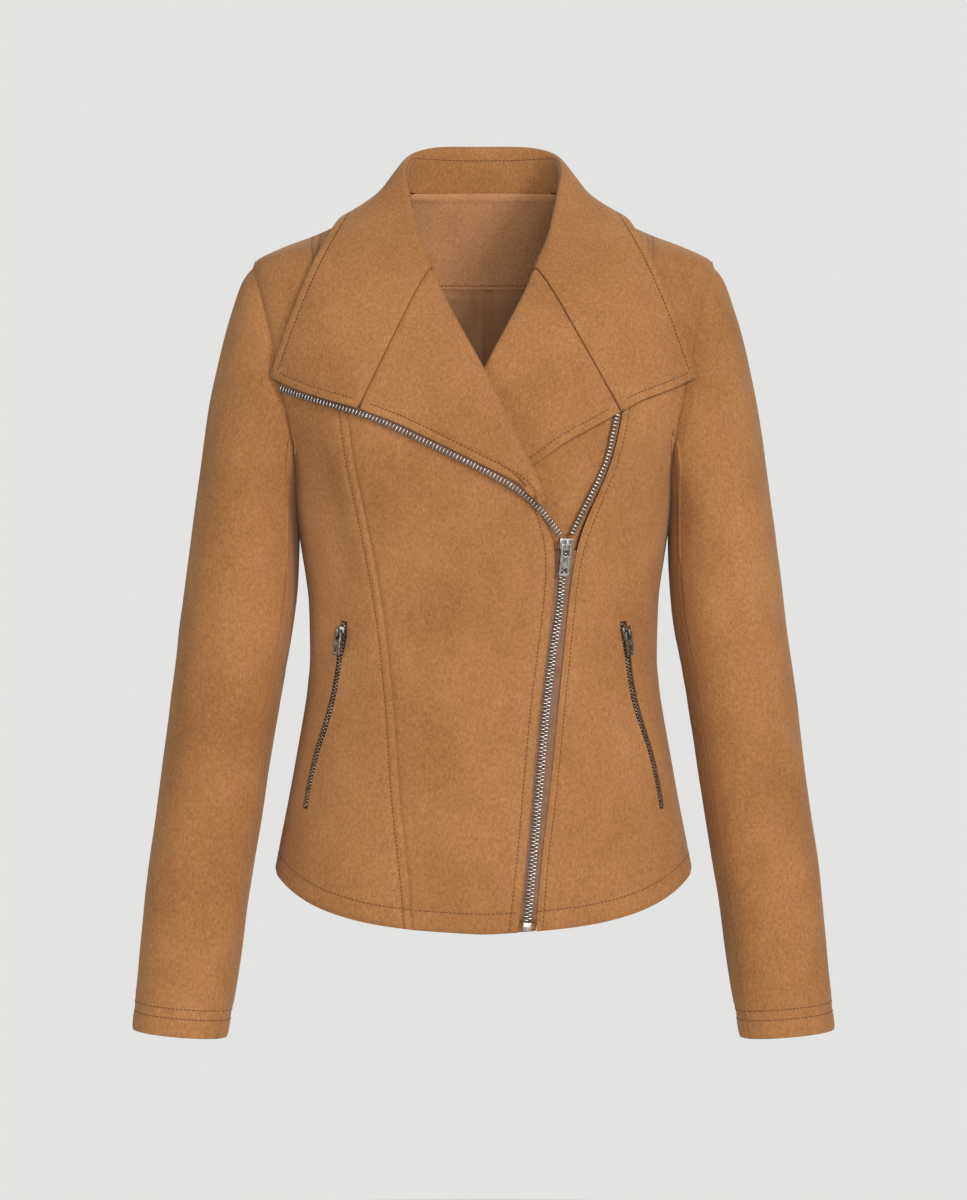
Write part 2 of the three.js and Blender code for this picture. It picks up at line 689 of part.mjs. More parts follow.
function leftFrontLift(point) {
  const open = smooth(-point.z, 120, 165);
  const closed = smooth(-point.z, 245, 285);
  const hidden = Math.max(closed, underRight(point.x, point.z) * smooth(-point.z, 60, 120));
  return -OVERLAP_SINK * open - OVERLAP_SINK * hidden;
}

// Back panels: the shoulder seam on top, the neck curve and centre back on the inner side
function backGeometry(side) {
  const middleTurn = 180 - SEAM_GAP / 2;
  const princessX = torsoPoint(ridgeTurn, PRINCESS_TOP_Z).x;
  const nearNeck = ridgeSpots(rollLine[0].x, princessX, FRONT_COLUMNS / 2);
  const nearArm = ridgeSpots(princessX, torso.half(SHOULDER_Z), SIDE_FRONT_COLUMNS);
  const top = [...nearNeck, ...nearArm.slice(1)];
  const columns = top.length - 1;
  const sideLine = armholeAndSide('back');
  const last = sideLine.length - 1;
  const inner = samples(totalRows, (_, i) => {
    const round = Math.min(1, i / NECK_ROWS);
    const down = Math.max(0, (i - NECK_ROWS) / (totalRows - NECK_ROWS));
    return {
      turn: lerp(ridgeTurn, middleTurn, round),
      z: lerp(SIDE_NECK_Z, 0, round) + hemHeight(180) * down ** BACK_CROWDING,
    };
  });
  const bottom = hemSpots(inner[last], sideLine[last], columns);
  sideLine[0] = { ...top[columns] };
  sideLine[last] = { ...bottom[columns] };
  const grid = bordered(top, bottom, inner, sideLine);
  grid[0].forEach((spot) => {
    spot.turn += SHOULDER_GAP / 2 / torso.back(spot.z) * DEGREES;
  });
  return panelGeometry(grid, side, WALL, flat);
}

// Inside the back neck: the shaped facing, and the lining with its centre pleat below it
function facingGeometry() {
  const columns = 14;
  const rows = 5;
  const reach = { top: 54, bottom: 25 };
  const grid = samples(rows, (v) => samples(columns, (u) => {
    const half = lerp(reach.top, reach.bottom, v);
    return { turn: lerp(180 - half, 180 + half, u), z: lerp(-1.5, FACING_BOTTOM_Z, v) };
  }));
  return panelGeometry(grid, LEFT, LINING_WALL, () => -WALL - INNER_GAP - 0.5);
}

function liningGeometry() {
  const columns = 14;
  const rows = 13;
  const reach = column([
    { z: FACING_BOTTOM_Z, turn: 28 },
    { z: -150, turn: 43 },
    { z: -200, turn: 50 },
    { z: UNDERARM_Z, turn: 66 },
    { z: LINING_BOTTOM_Z, turn: 78 },
  ], 'z', 'turn');
  const pleatHalf = 4.5;
  const pleatRise = 2.2;
  const grid = samples(rows, (v) => {
    const z = lerp(FACING_BOTTOM_Z - SEAM_GAP, LINING_BOTTOM_Z, v);
    const half = reach(z);
    return samples(columns, (u) => {
      const wide = 2 * u - 1;
      return { turn: 180 + half * Math.sign(wide) * Math.abs(wide) ** 1.35, z };
    });
  });
  return panelGeometry(grid, LEFT, LINING_WALL, (point) => {
    const pleat = Math.max(0, 1 - Math.abs(point.x) / pleatHalf) * (1 - smooth(-point.z, 90, 330));
    return -WALL - INNER_GAP - 0.4 - pleatRise * pleat;
  });
}

// Lapels and collar: face points of one section, turned over at the roll and lying on the chest
const FALL_STEPS = 6;
function rollFrame(x, z, edgeX, edgeZ, lift) {
  const base = chestPoint(x, z, lift);
  const up = torsoNormal(frontTurn(x, z), z);
  const out = chestPoint(edgeX, edgeZ, lift).sub(base);
  out.addScaledVector(up, -out.dot(up)).normalize();
  return { base, up, out };
}

// A lapel that passes under the other front is pressed flatter as well as sunk
const PRESSED = 0.5;
const pressAt = (sink) => 1 - PRESSED * Math.min(1, Math.max(0, -sink) / LAPEL_SINK);

function fallPoints(start, edgeX, edgeZ, edgeLift, startLift, liftExtra) {
  return samples(FALL_STEPS, (t) => t).slice(1).map((t) => {
    const x = lerp(start.x, edgeX, t);
    const z = lerp(start.z, edgeZ, t);
    const full = lerp(startLift, edgeLift, t) + 0.8 * Math.sin(Math.PI * t);
    const sink = liftExtra(x, z);
    return chestPoint(x, z, full * pressAt(sink) + sink);
  });
}

function lapelSection(roll, edge, liftExtra) {
  const baseLift = liftExtra(roll.x, roll.z);
  const { base, up, out } = rollFrame(roll.x, roll.z, edge.x, edge.z, baseLift);
  const turned = lapelRoll.map((spot) => base.clone()
    .addScaledVector(out, spot.out)
    .addScaledVector(up, spot.up * pressAt(baseLift)));
  const last = turned[turned.length - 1];
  return [...turned, ...fallPoints(last, edge.x, edge.z, EDGE_LIFT, lapelRoll[4].up, liftExtra)];
}

function mirrorFor(side) {
  return (point) => new THREE.Vector3(side * point.x, point.y, point.z);
}

const LAPEL_COLUMNS = 12;
function lapelGeometry(side, sections, liftExtra) {
  const rollAt = column(sections, 'at', 'rollZ');
  const edgeAtX = column(sections, 'at', 'edgeX');
  const edgeAtZ = column(sections, 'at', 'edgeZ');
  const grid = samples(LAPEL_COLUMNS, (t) => {
    const z = rollAt(t);
    const gap = t === 0 ? SEAM_GAP : 0;
    return lapelSection({ x: rollX(z - gap), z: z - gap }, { x: edgeAtX(t) - gap, z: edgeAtZ(t) }, liftExtra);
  });
  return wallGeometry(grid.map((row) => row.map(mirrorFor(side))), WALL * LAPEL_TURN[side]);
}

// The offset of a grid follows its winding, which the mirror turns round
const LAPEL_TURN = { [LEFT]: 1, [RIGHT]: -1 };

// Stand and fall of the collar at one section, face points from the neck seam to the edge
function collarSection(spot) {
  const neck = new THREE.Vector3(spot.neckX, spot.neckY, spot.neckZ);
  const roll = new THREE.Vector3(spot.rollX, spot.rollY, spot.rollZ);
  const edge = new THREE.Vector3(spot.edgeX, spot.edgeY, spot.edgeZ);
  const out = edge.clone().sub(roll);
  out.z = 0;
  out.normalize();
  const stand = roll.clone().sub(neck).normalize();
  const foot = neck.clone().addScaledVector(stand, 0.8).addScaledVector(out, -1.2);
  const turned = [
    foot,
    foot.clone().lerp(roll, 0.45).addScaledVector(out, -1),
    roll.clone().addScaledVector(out, -3).add(new THREE.Vector3(0, 0, -4)),
    roll.clone(),
    roll.clone().addScaledVector(out, 4.2).add(new THREE.Vector3(0, 0, -3.4)),
  ];
  const start = turned[4];
  const fall = samples(FALL_STEPS, (t) => t).slice(1).map((t) => {
    const point = start.clone().lerp(edge, t);
    point.z -= spot.hollow * Math.sin(Math.PI * t);
    if (t < 1 && point.z < -42 && point.y < 0) {
      const chest = chestPoint(point.x, point.z, COLLAR_LIFT + 2);
      point.y = Math.min(point.y, chest.y);
      return point;
    }
    return pushClear(point, COLLAR_LIFT);
  });
  return [...turned, ...fall];
}

function collarHalf(gorgeX, gorgeZ) {
  const names = Object.keys(collarSections[0]).filter((name) => name !== 'at');
  const curves = Object.fromEntries(names.map((name) => [name, column(collarSections, 'at', name)]));
  const upper = samples(COLLAR_COLUMNS, (t) => {
    const spot = Object.fromEntries(names.map((name) => [name, curves[name](t)]));
    const worn = collarSection(spot);
    const turnedOver = smooth(t, 0.62, 1);
    if (turnedOver === 0) return worn;
    const flatter = lapelSection(
      { x: rollX(spot.neckZ), z: spot.neckZ },
      { x: spot.edgeX, z: spot.edgeZ },
      flat,
    );
    return worn.map((point, k) => point.lerp(flatter[k], turnedOver));
  });
  const gorge = { at: 1, neckZ: ROLL_START_Z + SEAM_GAP, edgeX: gorgeX, edgeZ: gorgeZ };
  const ends = [...collarPointSections, gorge];
  const lower = ends.map((spot) => lapelSection(
    { x: rollX(spot.neckZ), z: spot.neckZ },
    { x: spot.edgeX, z: spot.edgeZ },
    flat,
  ));
  return [...upper, ...lower];
}

function collarGeometry() {
  const rightHalf = collarHalf(rightLapelSections[0].edgeX + SEAM_GAP, rightLapelSections[0].edgeZ);
  const leftHalf = collarHalf(leftLapelSections[0].edgeX + SEAM_GAP, leftLapelSections[0].edgeZ);
  const grid = [
    ...rightHalf.slice(1).reverse().map((row) => row.map(mirrorFor(RIGHT))),
    ...leftHalf.map((row) => row.map(mirrorFor(LEFT))),
  ];
  return wallGeometry(grid, -WALL);
}

// Sleeves: an open tube in two pieces, from the armhole to the cuff, on the +X side
const sleeve = {
  outer: column(sleeveSections, 'z', 'outer'),
  inner: column(sleeveSections, 'z', 'inner'),
  middle: column(sleeveSections, 'z', 'middle'),
  depth: column(sleeveSections, 'z', 'depth'),
};
const ROUND_STEPS = 2 * ARMHOLE_STEPS;

function sleevePoint(step, z) {
  const angle = (2 * Math.PI * step) / ROUND_STEPS;
  const c = Math.cos(angle);
  const s = Math.sin(angle);
  const r = (Math.abs(c) ** SLEEVE_SQUARE + Math.abs(s) ** SLEEVE_SQUARE) ** (-1 / SLEEVE_SQUARE);
  const centre = (sleeve.outer(z) + sleeve.inner(z)) / 2;
  const half = (sleeve.outer(z) - sleeve.inner(z)) / 2;
  return new THREE.Vector3(centre + half * r * c, sleeve.middle(z) - (sleeve.depth(z) / 2) * r * s, z);
}

function armholeSpot(step) {
  const whole = ((step % ROUND_STEPS) + ROUND_STEPS) % ROUND_STEPS;
  const front = whole <= ARMHOLE_STEPS;
  const at = front ? whole / ARMHOLE_STEPS : (ROUND_STEPS - whole) / ARMHOLE_STEPS;
  const curve = front ? armholeCurve.front : armholeCurve.back;
  return { turn: curve.turn(at), z: curve.z(at) };
}

const holeCentre = torsoPoint(ridgeTurn, (SHOULDER_Z + UNDERARM_Z) / 2);

// A spare column past each seam gives the true slope of the cloth at the seam
function sleeveGrid(fromStep, toStep) {
  const steps = Array.from({ length: toStep - fromStep + 3 }, (_, i) => fromStep - 1 + i);
  const columns = steps.map((step) => {
    const nearFront = step === fromStep ? 1 : 0;
    const nearBack = step === toStep ? 1 : 0;
    const place = step + (nearFront - nearBack) * SLEEVE_SEAM_SHIFT;
    const spot = armholeSpot(place);
    const base = torsoPoint(spot.turn, spot.z);
    const high = (1 + Math.cos((2 * Math.PI * step) / ROUND_STEPS)) / 2;
    const bend = Math.sin((2 * Math.PI * step) / ROUND_STEPS);
    const away = new THREE.Vector3(lerp(0.08, 0.85, high), -0.3 * bend, lerp(-1, -0.5, high)).normalize();
    const normal = torsoNormal(spot.turn, spot.z);
    const intoHole = holeCentre.clone().sub(base);
    intoHole.addScaledVector(normal, -intoHole.dot(normal)).normalize();
    const start = base.clone().addScaledVector(intoHole, SLEEVE_GAP);
    const end = sleevePoint(place, BICEP_Z);
    const below = sleevePoint(place, BICEP_Z - 8).sub(end).normalize();
    const length = start.distanceTo(end);
    const startPull = away.clone().multiplyScalar(lerp(length, 0.42 * length, high));
    const endPull = below.multiplyScalar(lerp(length, 0.95 * length, high));
    const cap = samples(CAP_RINGS, (t) => {
      const t2 = t * t;
      const t3 = t2 * t;
      return start.clone().multiplyScalar(2 * t3 - 3 * t2 + 1)
        .addScaledVector(startPull, t3 - 2 * t2 + t)
        .addScaledVector(end, 3 * t2 - 2 * t3)
        .addScaledVector(endPull, t3 - t2);
    });
    const arm = samples(SLEEVE_RINGS, (t) => {
      const z = lerp(BICEP_Z, sleeveSections[sleeveSections.length - 1].z, t);
      const point = sleevePoint(place, z);
      point.z += CUFF_SLANT * t * Math.cos((2 * Math.PI * step) / ROUND_STEPS);
      return point;
    }).slice(1);
    return { points: [...cap, ...arm], normal };
  });
  const rows = columns[0].points.length;
  const grid = Array.from({ length: rows }, (_, i) => columns.map((line) => line.points[i]));
  return { grid, seamNormals: columns.map((line) => line.normal) };
}

function sleeveGeometry(side, fromStep, toStep) {
  const { grid, seamNormals } = sleeveGrid(fromStep, toStep);
  const rows = grid.length;
  const cols = grid[0].length;
  const mirror = mirrorFor(side);
  const outer = grid.map((row) => row.slice(1, cols - 1));
  const inner = outer.map((row, i) => row.map((point, j) => {
    const above = grid[Math.max(0, i - 1)][j + 1];
    const below = grid[Math.min(rows - 1, i + 1)][j + 1];
    const across = grid[i][j + 2].clone().sub(grid[i][j]);
    const own = above.clone().sub(below).cross(across).normalize();
    const normal = i === 0 ? seamNormals[j + 1] : own;
    return mirror(point.clone().addScaledVector(normal, -WALL));
  }));
  return wallGeometry(outer.map((row) => row.map(mirror)), WALL, (i, j) => inner[i][j]);
}

// Strip that lies along a line on the front: zip tapes and zip chains
function stripGeometry(line, side, reachLeft, reachRight, bottom, thickness, taper = 0) {
  const spots = line.map((spot) => {
    const turn = frontTurn(side * spot.x, spot.z);
    return { base: torsoPoint(turn, spot.z), up: torsoNormal(turn, spot.z), lift: spot.lift ?? 0 };
  });
  const outer = spots.map((spot, i) => {
    const before = spots[Math.max(0, i - 1)].base;
    const after = spots[Math.min(spots.length - 1, i + 1)].base;
    const along = before.clone().sub(after).normalize();
    const across = along.clone().cross(spot.up).normalize();
    const right = reachRight * (1 - taper * smooth(i / (spots.length - 1), 0.75, 1));
    return [-reachLeft, right].map((reach) => {
      const point = spot.base.clone().addScaledVector(across, reach);
      const settled = chestPoint(point.x, point.z, spot.lift + bottom + thickness);
      return { point: settled, up: torsoNormal(frontTurn(point.x, point.z), point.z) };
    });
  });
  return wallGeometry(
    outer.map((row) => row.map((corner) => corner.point)),
    thickness,
    (i, j, point) => point.clone().addScaledVector(outer[i][j].up, -thickness),
  );
}

function lineOf(rows, key, count, from = 0, to = 1) {
  const xOf = column(rows, key, 'x');
  const zOf = key === 'z' ? (z) => z : column(rows, key, 'z');
  const first = rows[0][key];
  const last = rows[rows.length - 1][key];
  return samples(count, (t) => {
    const place = lerp(first, last, lerp(from, to, t));
    return { x: xOf(place), z: zOf(place) };
  });
}

// Frame of a slider: x across the zip, y up along it, z off the cloth
function sliderFrame(x, z, aboveX, aboveZ) {
  const base = chestPoint(x, z, 0);
  const up = torsoNormal(frontTurn(x, z), z);
  const along = chestPoint(aboveX, aboveZ, 0).sub(base);
  along.addScaledVector(up, -along.dot(up)).normalize();
  const across = along.clone().cross(up);
  return new THREE.Matrix4().makeBasis(across, along, up).setPosition(base);
}

function block(width, length, low, high, x = 0, y = 0) {
  return new THREE.BoxGeometry(width, length, high - low).translate(x, y, (low + high) / 2);
}

function sliderGeometry(size) {
  const shape = new THREE.Shape();
  const half = size.width / 2;
  const end = size.length / 2;
  const waist = half * 0.8;
  shape.moveTo(-waist, -end);
  shape.lineTo(waist, -end);
  shape.lineTo(half, 0);
  shape.lineTo(half, end);
  shape.lineTo(-half, end);
  shape.lineTo(-half, 0);
  shape.closePath();
  const plate = new THREE.ExtrudeGeometry(shape, { depth: size.top - size.bottom, bevelEnabled: false })
    .translate(0, 0, size.bottom);
  const bridgeTop = size.pivot + BRIDGE_CLEARANCE + BRIDGE_THICK;
  const post = BRIDGE_REACH - BRIDGE_THICK / 2;
  const sunk = size.top - 0.4;
  return unite([
    plate,
    block(size.neck, size.length * 0.8, size.bottom - (size.neck < size.width ? 1.2 : 0), size.bottom + 0.4),
    block(size.bridge, BRIDGE_THICK, sunk, bridgeTop, 0, post),
    block(size.bridge, BRIDGE_THICK, sunk, bridgeTop, 0, -post),
    block(size.bridge, 2 * BRIDGE_REACH, bridgeTop - BRIDGE_THICK, bridgeTop),
  ]);
}

function tabGeometry(size) {
  const half = size.tabWidth / 2;
  const corner = half * 0.35;
  const shape = new THREE.Shape();
  shape.moveTo(-half, TAB_BAR);
  shape.lineTo(-half, corner - size.tabLength);
  shape.quadraticCurveTo(-half, -size.tabLength, corner - half, -size.tabLength);
  shape.lineTo(half - corner, -size.tabLength);
  shape.quadraticCurveTo(half, -size.tabLength, half, corner - size.tabLength);
  shape.lineTo(half, TAB_BAR);
  shape.closePath();
  const cutOut = (width, top, length) => {
    const path = new THREE.Path();
    path.moveTo(-width / 2, top);
    path.lineTo(width / 2, top);
    path.lineTo(width / 2, top - length);
    path.lineTo(-width / 2, top - length);
    path.closePath();
    return path;
  };
  shape.holes.push(cutOut(size.window, -TAB_BAR, size.windowLength));
  shape.holes.push(cutOut(size.hole, 2 + size.hole - size.tabLength, size.hole));
  return new THREE.ExtrudeGeometry(shape, { depth: TAB_THICK, bevelEnabled: false, curveSegments: 3 })
    .translate(0, 0, -TAB_THICK / 2);
}

function placeBy(piece, matrix) {
  piece.applyMatrix4(matrix);
  return piece;
}

function addSlider(prefix, size, matrix, finish) {
  placeBy(addPiece(`${prefix}_slider`, sliderGeometry(size), finish), matrix);
  const tilt = new THREE.Matrix4().makeRotationX(radians(size.tilt))
    .setPosition(0, 0, size.pivot);
  placeBy(addPiece(`${prefix}_pull_tab`, tabGeometry(size), finish), matrix.clone().multiply(tilt));
}

// Body pieces
addPiece('right_back', backGeometry(RIGHT), finishes.suede);
addPiece('left_back', backGeometry(LEFT), finishes.suede);
addPiece('right_front', frontGeometry(RIGHT, rightPrincess, rightZipEdge, rightFrontLift), finishes.suede);
addPiece('left_under_front', frontGeometry(LEFT, leftZipSeam, underFrontEdge, leftFrontLift), finishes.suede);
addPiece('back_neck_facing', facingGeometry(), finishes.suedeInside);
addPiece('back_lining', liningGeometry(), finishes.lining);

// Side fronts with their pocket slits, zips, sliders and tabs
for (const [side, name, seam] of [[RIGHT, 'right', rightPrincess], [LEFT, 'left', leftZipSeam]]) {
  const slit = lineOf(pocketLine, 'at', POCKET_STEPS);
  const cutter = stripGeometry(slit, side, POCKET_SLIT / 2, POCKET_SLIT / 2, -CUT_DEPTH, 2 * CUT_DEPTH);
  const cloth = solidOf(sideFrontGeometry(side, seam)).subtract(solidOf(cutter));
  addPiece(`${name}_side_front`, geometryOf(cloth), finishes.suede);
  const behind = -WALL - POCKET_TAPE_GAP - TAPE_WALL;
  const tapeLine = lineOf(pocketLine, 'at', POCKET_STEPS, -0.02, 1.02);
  const tape = stripGeometry(tapeLine, side, POCKET_TAPE / 2, POCKET_TAPE / 2, behind, TAPE_WALL);
  addPiece(`${name}_pocket_tape`, tape, finishes.tape);
  const chainLine = lineOf(pocketLine, 'at', POCKET_STEPS, 0.01, 0.99);
  const half = POCKET_CHAIN / 2;
  const chainBase = behind + TAPE_WALL + CHAIN_GAP;
  const chain = stripGeometry(chainLine, side, half, half, chainBase, POCKET_CHAIN_THICK);
  addPiece(`${name}_pocket_chain`, chain, finishes.darkMetal);
  const spots = lineOf(pocketLine, 'at', 1, POCKET_SLIDER_AT, POCKET_SLIDER_AT - 0.04);
  const frame = sliderFrame(side * spots[0].x, spots[0].z, side * spots[1].x, spots[1].z);
  addSlider(`${name}_pocket`, pocketSlider, frame, finishes.darkMetal);
}

// Collar and lapels
addPiece('collar', collarGeometry(), finishes.suede);
const raisedRight = (x, z) => rightFrontLift(new THREE.Vector3(x, 0, z));
const sunkLeft = (x, z) => -LAPEL_SINK * underRight(x, z) * smooth(-z, 120, 165);
addPiece('right_lapel', lapelGeometry(RIGHT, rightLapelSections, raisedRight), finishes.suede);
addPiece('left_lapel', lapelGeometry(LEFT, leftLapelSections, sunkLeft), finishes.suede);

// Sleeves
for (const [side, name] of [[RIGHT, 'right'], [LEFT, 'left']]) {
  const upper = sleeveGeometry(side, HIND_SEAM_STEP - ROUND_STEPS, FRONT_SEAM_STEP);
  addPiece(`${name}_top_sleeve`, upper, finishes.suede);
  const under = sleeveGeometry(side, FRONT_SEAM_STEP, HIND_SEAM_STEP);
  addPiece(`${name}_under_sleeve`, under, finishes.suede);
}

// Main zip
const closedLine = lineOf(closedChain, 'z', 16);
const closedTapes = [
  ['right_zip_tape', CLOSED_TAPE_REACH, -TAPE_PARTING],
  ['left_zip_tape', -TAPE_PARTING, CLOSED_TAPE_REACH - TAPE_PARTING],
];
for (const [name, leftReach, rightReach] of closedTapes) {
  const tape = stripGeometry(closedLine, LEFT, leftReach, rightReach, TAPE_LIFT, TAPE_WALL);
  addPiece(name, tape, finishes.tape);
}
const chainBottom = TAPE_LIFT + TAPE_WALL + CHAIN_GAP;
const chainHalf = CHAIN_WIDTH / 2;
const chainSolid = stripGeometry(closedLine, LEFT, chainHalf, chainHalf, chainBottom, CHAIN_THICK);
addPiece('closed_zip_chain', chainSolid, finishes.metal);

const openLift = { right: 0.5, left: -1.7 };
const rightOpenLine = lineOf(rightOpenChain, 'at', 18)
  .map((spot) => ({ ...spot, lift: rightFrontLift(new THREE.Vector3(-spot.x, 0, spot.z)) }));
const leftOpenLine = lineOf(leftOpenChain, 'at', 12);
const halfChain = HALF_CHAIN_WIDTH / 2;
addPiece(
  'right_open_zip_tape',
  stripGeometry(rightOpenLine, LEFT, halfChain, OPEN_TAPE_REACH, openLift.right, TAPE_WALL, 0.75),
  finishes.tape,
);
addPiece(
  'left_open_zip_tape',
  stripGeometry(leftOpenLine, LEFT, halfChain, 2.6, openLift.left, TAPE_WALL),
  finishes.tape,
);
const openChainBottom = TAPE_WALL + CHAIN_GAP;
addPiece(
  'right_open_zip_chain',
  stripGeometry(
    rightOpenLine,
    LEFT,
    halfChain,
    halfChain,
    openLift.right + openChainBottom,
    OPEN_CHAIN_THICK,
  ),
  finishes.metal,
);
addPiece(
  'left_open_zip_chain',
  stripGeometry(
    leftOpenLine,
    LEFT,
    halfChain,
    halfChain,
    openLift.left + openChainBottom,
    OPEN_CHAIN_THICK,
  ),
  finishes.metal,
);
const mainPlace = sliderFrame(SLIDER_X, SLIDER_Z, SLIDER_X + 0.8, SLIDER_Z + 10);
addSlider('main_zip', mainSlider, mainPlace, finishes.metal);
const retainerTop = chainBottom + RETAINER.thick;
const retainerSolid = block(RETAINER.width, RETAINER.length, chainBottom, retainerTop);
placeBy(
  addPiece('zip_retainer_box', retainerSolid, finishes.metal),
  sliderFrame(RETAINER.x, RETAINER.z, RETAINER.x + 0.9, RETAINER.z + 10),
);

export default jacket;
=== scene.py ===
"""Tan suede jacket, filled out with no wearer: cloth, stitching, zips and metalwork."""

import math

import bmesh
import bpy
import numpy as np
from mathutils import Matrix, Vector, noise
from mathutils.bvhtree import BVHTree
from mathutils.kdtree import KDTree


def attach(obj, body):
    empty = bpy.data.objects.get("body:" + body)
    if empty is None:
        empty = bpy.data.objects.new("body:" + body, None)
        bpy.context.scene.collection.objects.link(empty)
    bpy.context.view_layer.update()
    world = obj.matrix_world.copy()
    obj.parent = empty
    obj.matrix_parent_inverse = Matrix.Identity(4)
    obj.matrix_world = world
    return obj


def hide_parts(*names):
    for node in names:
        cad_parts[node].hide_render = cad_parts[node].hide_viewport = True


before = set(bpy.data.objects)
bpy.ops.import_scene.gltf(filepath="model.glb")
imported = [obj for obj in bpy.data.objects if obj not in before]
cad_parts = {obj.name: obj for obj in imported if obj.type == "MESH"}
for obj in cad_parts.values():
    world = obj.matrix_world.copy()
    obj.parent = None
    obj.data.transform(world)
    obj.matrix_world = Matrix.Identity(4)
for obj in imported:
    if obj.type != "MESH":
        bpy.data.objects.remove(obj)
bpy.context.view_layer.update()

MM = 0.001

# Cloth walls, and what is read from the solids
SUEDE_WALL = 1.8 * MM
LINING_WALL = 1.2 * MM
TAPE_WALL = 0.9 * MM
MERGE = 0.002 * MM
SLIVER = 0.02 * MM
QUAD_FACE_ANGLE = math.radians(60)
QUAD_SHAPE_ANGLE = math.radians(80)
RIM_WIDTH = 2.6 * MM             # a border face narrower than this belongs to the wall's rim
WALL_EDGE = math.radians(50)     # an edge sharper than this divides the two sides of a wall
SLIT_WALL_EDGE = math.radians(58)
CLEARLY_LARGER = 1.012
CORNER = math.radians(33)        # a border turns a corner where it bends more than this

# Seams
ROLL_INSETS = (2.5 * MM, 4 * MM)   # support rows along every border, so that it rolls
SEAM_ROLL = 4.5 * MM             # cloth bends into a seam over this distance
SEAM_DEPTH = 1.5 * MM
FLAT_DEPTH = 0.5 * MM            # for the pieces whose seams are pressed flat
SEAM_REACH = 0.5 * MM            # each border goes out to meet the one it is sewn to
CAP_REACH = 3.2 * MM             # a sleeve goes further, into its armhole
BACK_REACH = 1.0 * MM            # the backs meet along the centre back seam
FACING_REACH = 5.6 * MM          # the facing runs up to the collar's foot
FACING_MIDDLE = -0.03
CAP_LOWEST = -0.3                # the cuff end of a sleeve doesn't reach out
ON_BORDER = 0.01 * MM

# Stitches
STITCH_PITCH = 3.2 * MM
STITCH_SIZE = (1.25 * MM, 0.42 * MM, 0.34 * MM)
STITCH_PULL = 0.7 * MM           # a row of stitches pulls the cloth in this far
STITCH_SPREAD = 1.7 * MM
STITCH_LIFT = 0.12 * MM
STITCH_INSIDE = 0.1 * MM         # past the wall, on a cloth's inner face

# Lining gathers and pleat, and the uneven lie of the cloth
GATHER_TOP = -0.074
GATHER_FADE = 0.05
GATHER_DEPTH = 0.5 * MM
GATHER_SINK = 0.6 * MM
GATHER_WAVE = 0.72               # turns of the ripple, in radians for each mm across
GATHER_SWING = 0.8
GATHER_DRIFT = 0.21
PLEAT_WIDTH = 10 * MM            # the lining's centre pleat
PLEAT_DEPTH = 6 * MM
PLEAT_END = -0.4
PLEAT_FADE = 0.2
WAVE_SIZE = 70 * MM
WAVE_DEPTH = 0.9 * MM
WAVE_DETAIL = 0.4
WAVE_FINER = 2.3
WAVE_CALM = 25 * MM              # the cloth lies flat near its seams
FOLD_TAPER = 0.7
FOLD_TIP = 0.04
FOLD_FADE = 10 * MM

# Zips
TOOTH_PITCH = 2.9 * MM
POCKET_TOOTH_PITCH = 2.7 * MM
TOOTH_SHARE = 0.42               # how much of the pitch a tooth takes up
TOOTH_HEAD = 0.72
TOOTH_BEVEL = 0.16
TOOTH_MESH = 0.62                # how far two rows of teeth lie to their own sides
CLOSED_TOOTH_WIDTH = 3.6 * MM
OPEN_TOOTH_WIDTH = 4.3 * MM
POCKET_TOOTH_WIDTH = 3.0 * MM
TOOTH_HEIGHT = 1.9 * MM
POCKET_TOOTH_HEIGHT = 1.5 * MM
TOOTH_SINK = 0.9 * MM
POCKET_TOOTH_SINK = -0.6 * MM
SLIDER_BEVEL = 0.35 * MM
POCKET_BEVEL = 0.25 * MM
RETAINER_BEVEL = 0.4 * MM
FLAT_METAL = math.radians(4)
METAL_EDGE = math.radians(30)
METAL_SHARP = math.radians(35)
CUT_SHARP = math.radians(45)

# Camera: the photograph was taken level, at mid height, from about three metres
CAMERA_DISTANCE = 3.0
CAMERA_HEIGHT = -0.3294
CAMERA_LENS = 112.5
FLOOR_HEIGHT = -1.0
FLOOR_RADIUS = 1.2
FLOOR_SIDES = 96
SENSOR_WIDTH = 36
BACKDROP = (0.768, 0.768, 0.753, 1)
AMBIENT = (0.96, 0.98, 1.0, 1)
AMBIENT_STRENGTH = 0.3
LIT_PLACE = (0, 0, -0.3)
# Softboxes: place, width and height, power, colour
LIGHTS = {
    "key": ((1.9, -2.7, 1.1), (1.0, 1.0), 72, (1, 0.985, 0.96)),
    "front": ((0.3, -3.5, 0.1), (1.2, 1.2), 46, (1, 0.99, 0.97)),
    "fill": ((-2.8, -1.2, 0.5), (1.2, 1.2), 20, (1, 0.99, 0.97)),
    "back": ((0.4, 2.4, 1.6), (2.0, 1.6), 40, (1, 1, 1)),
}

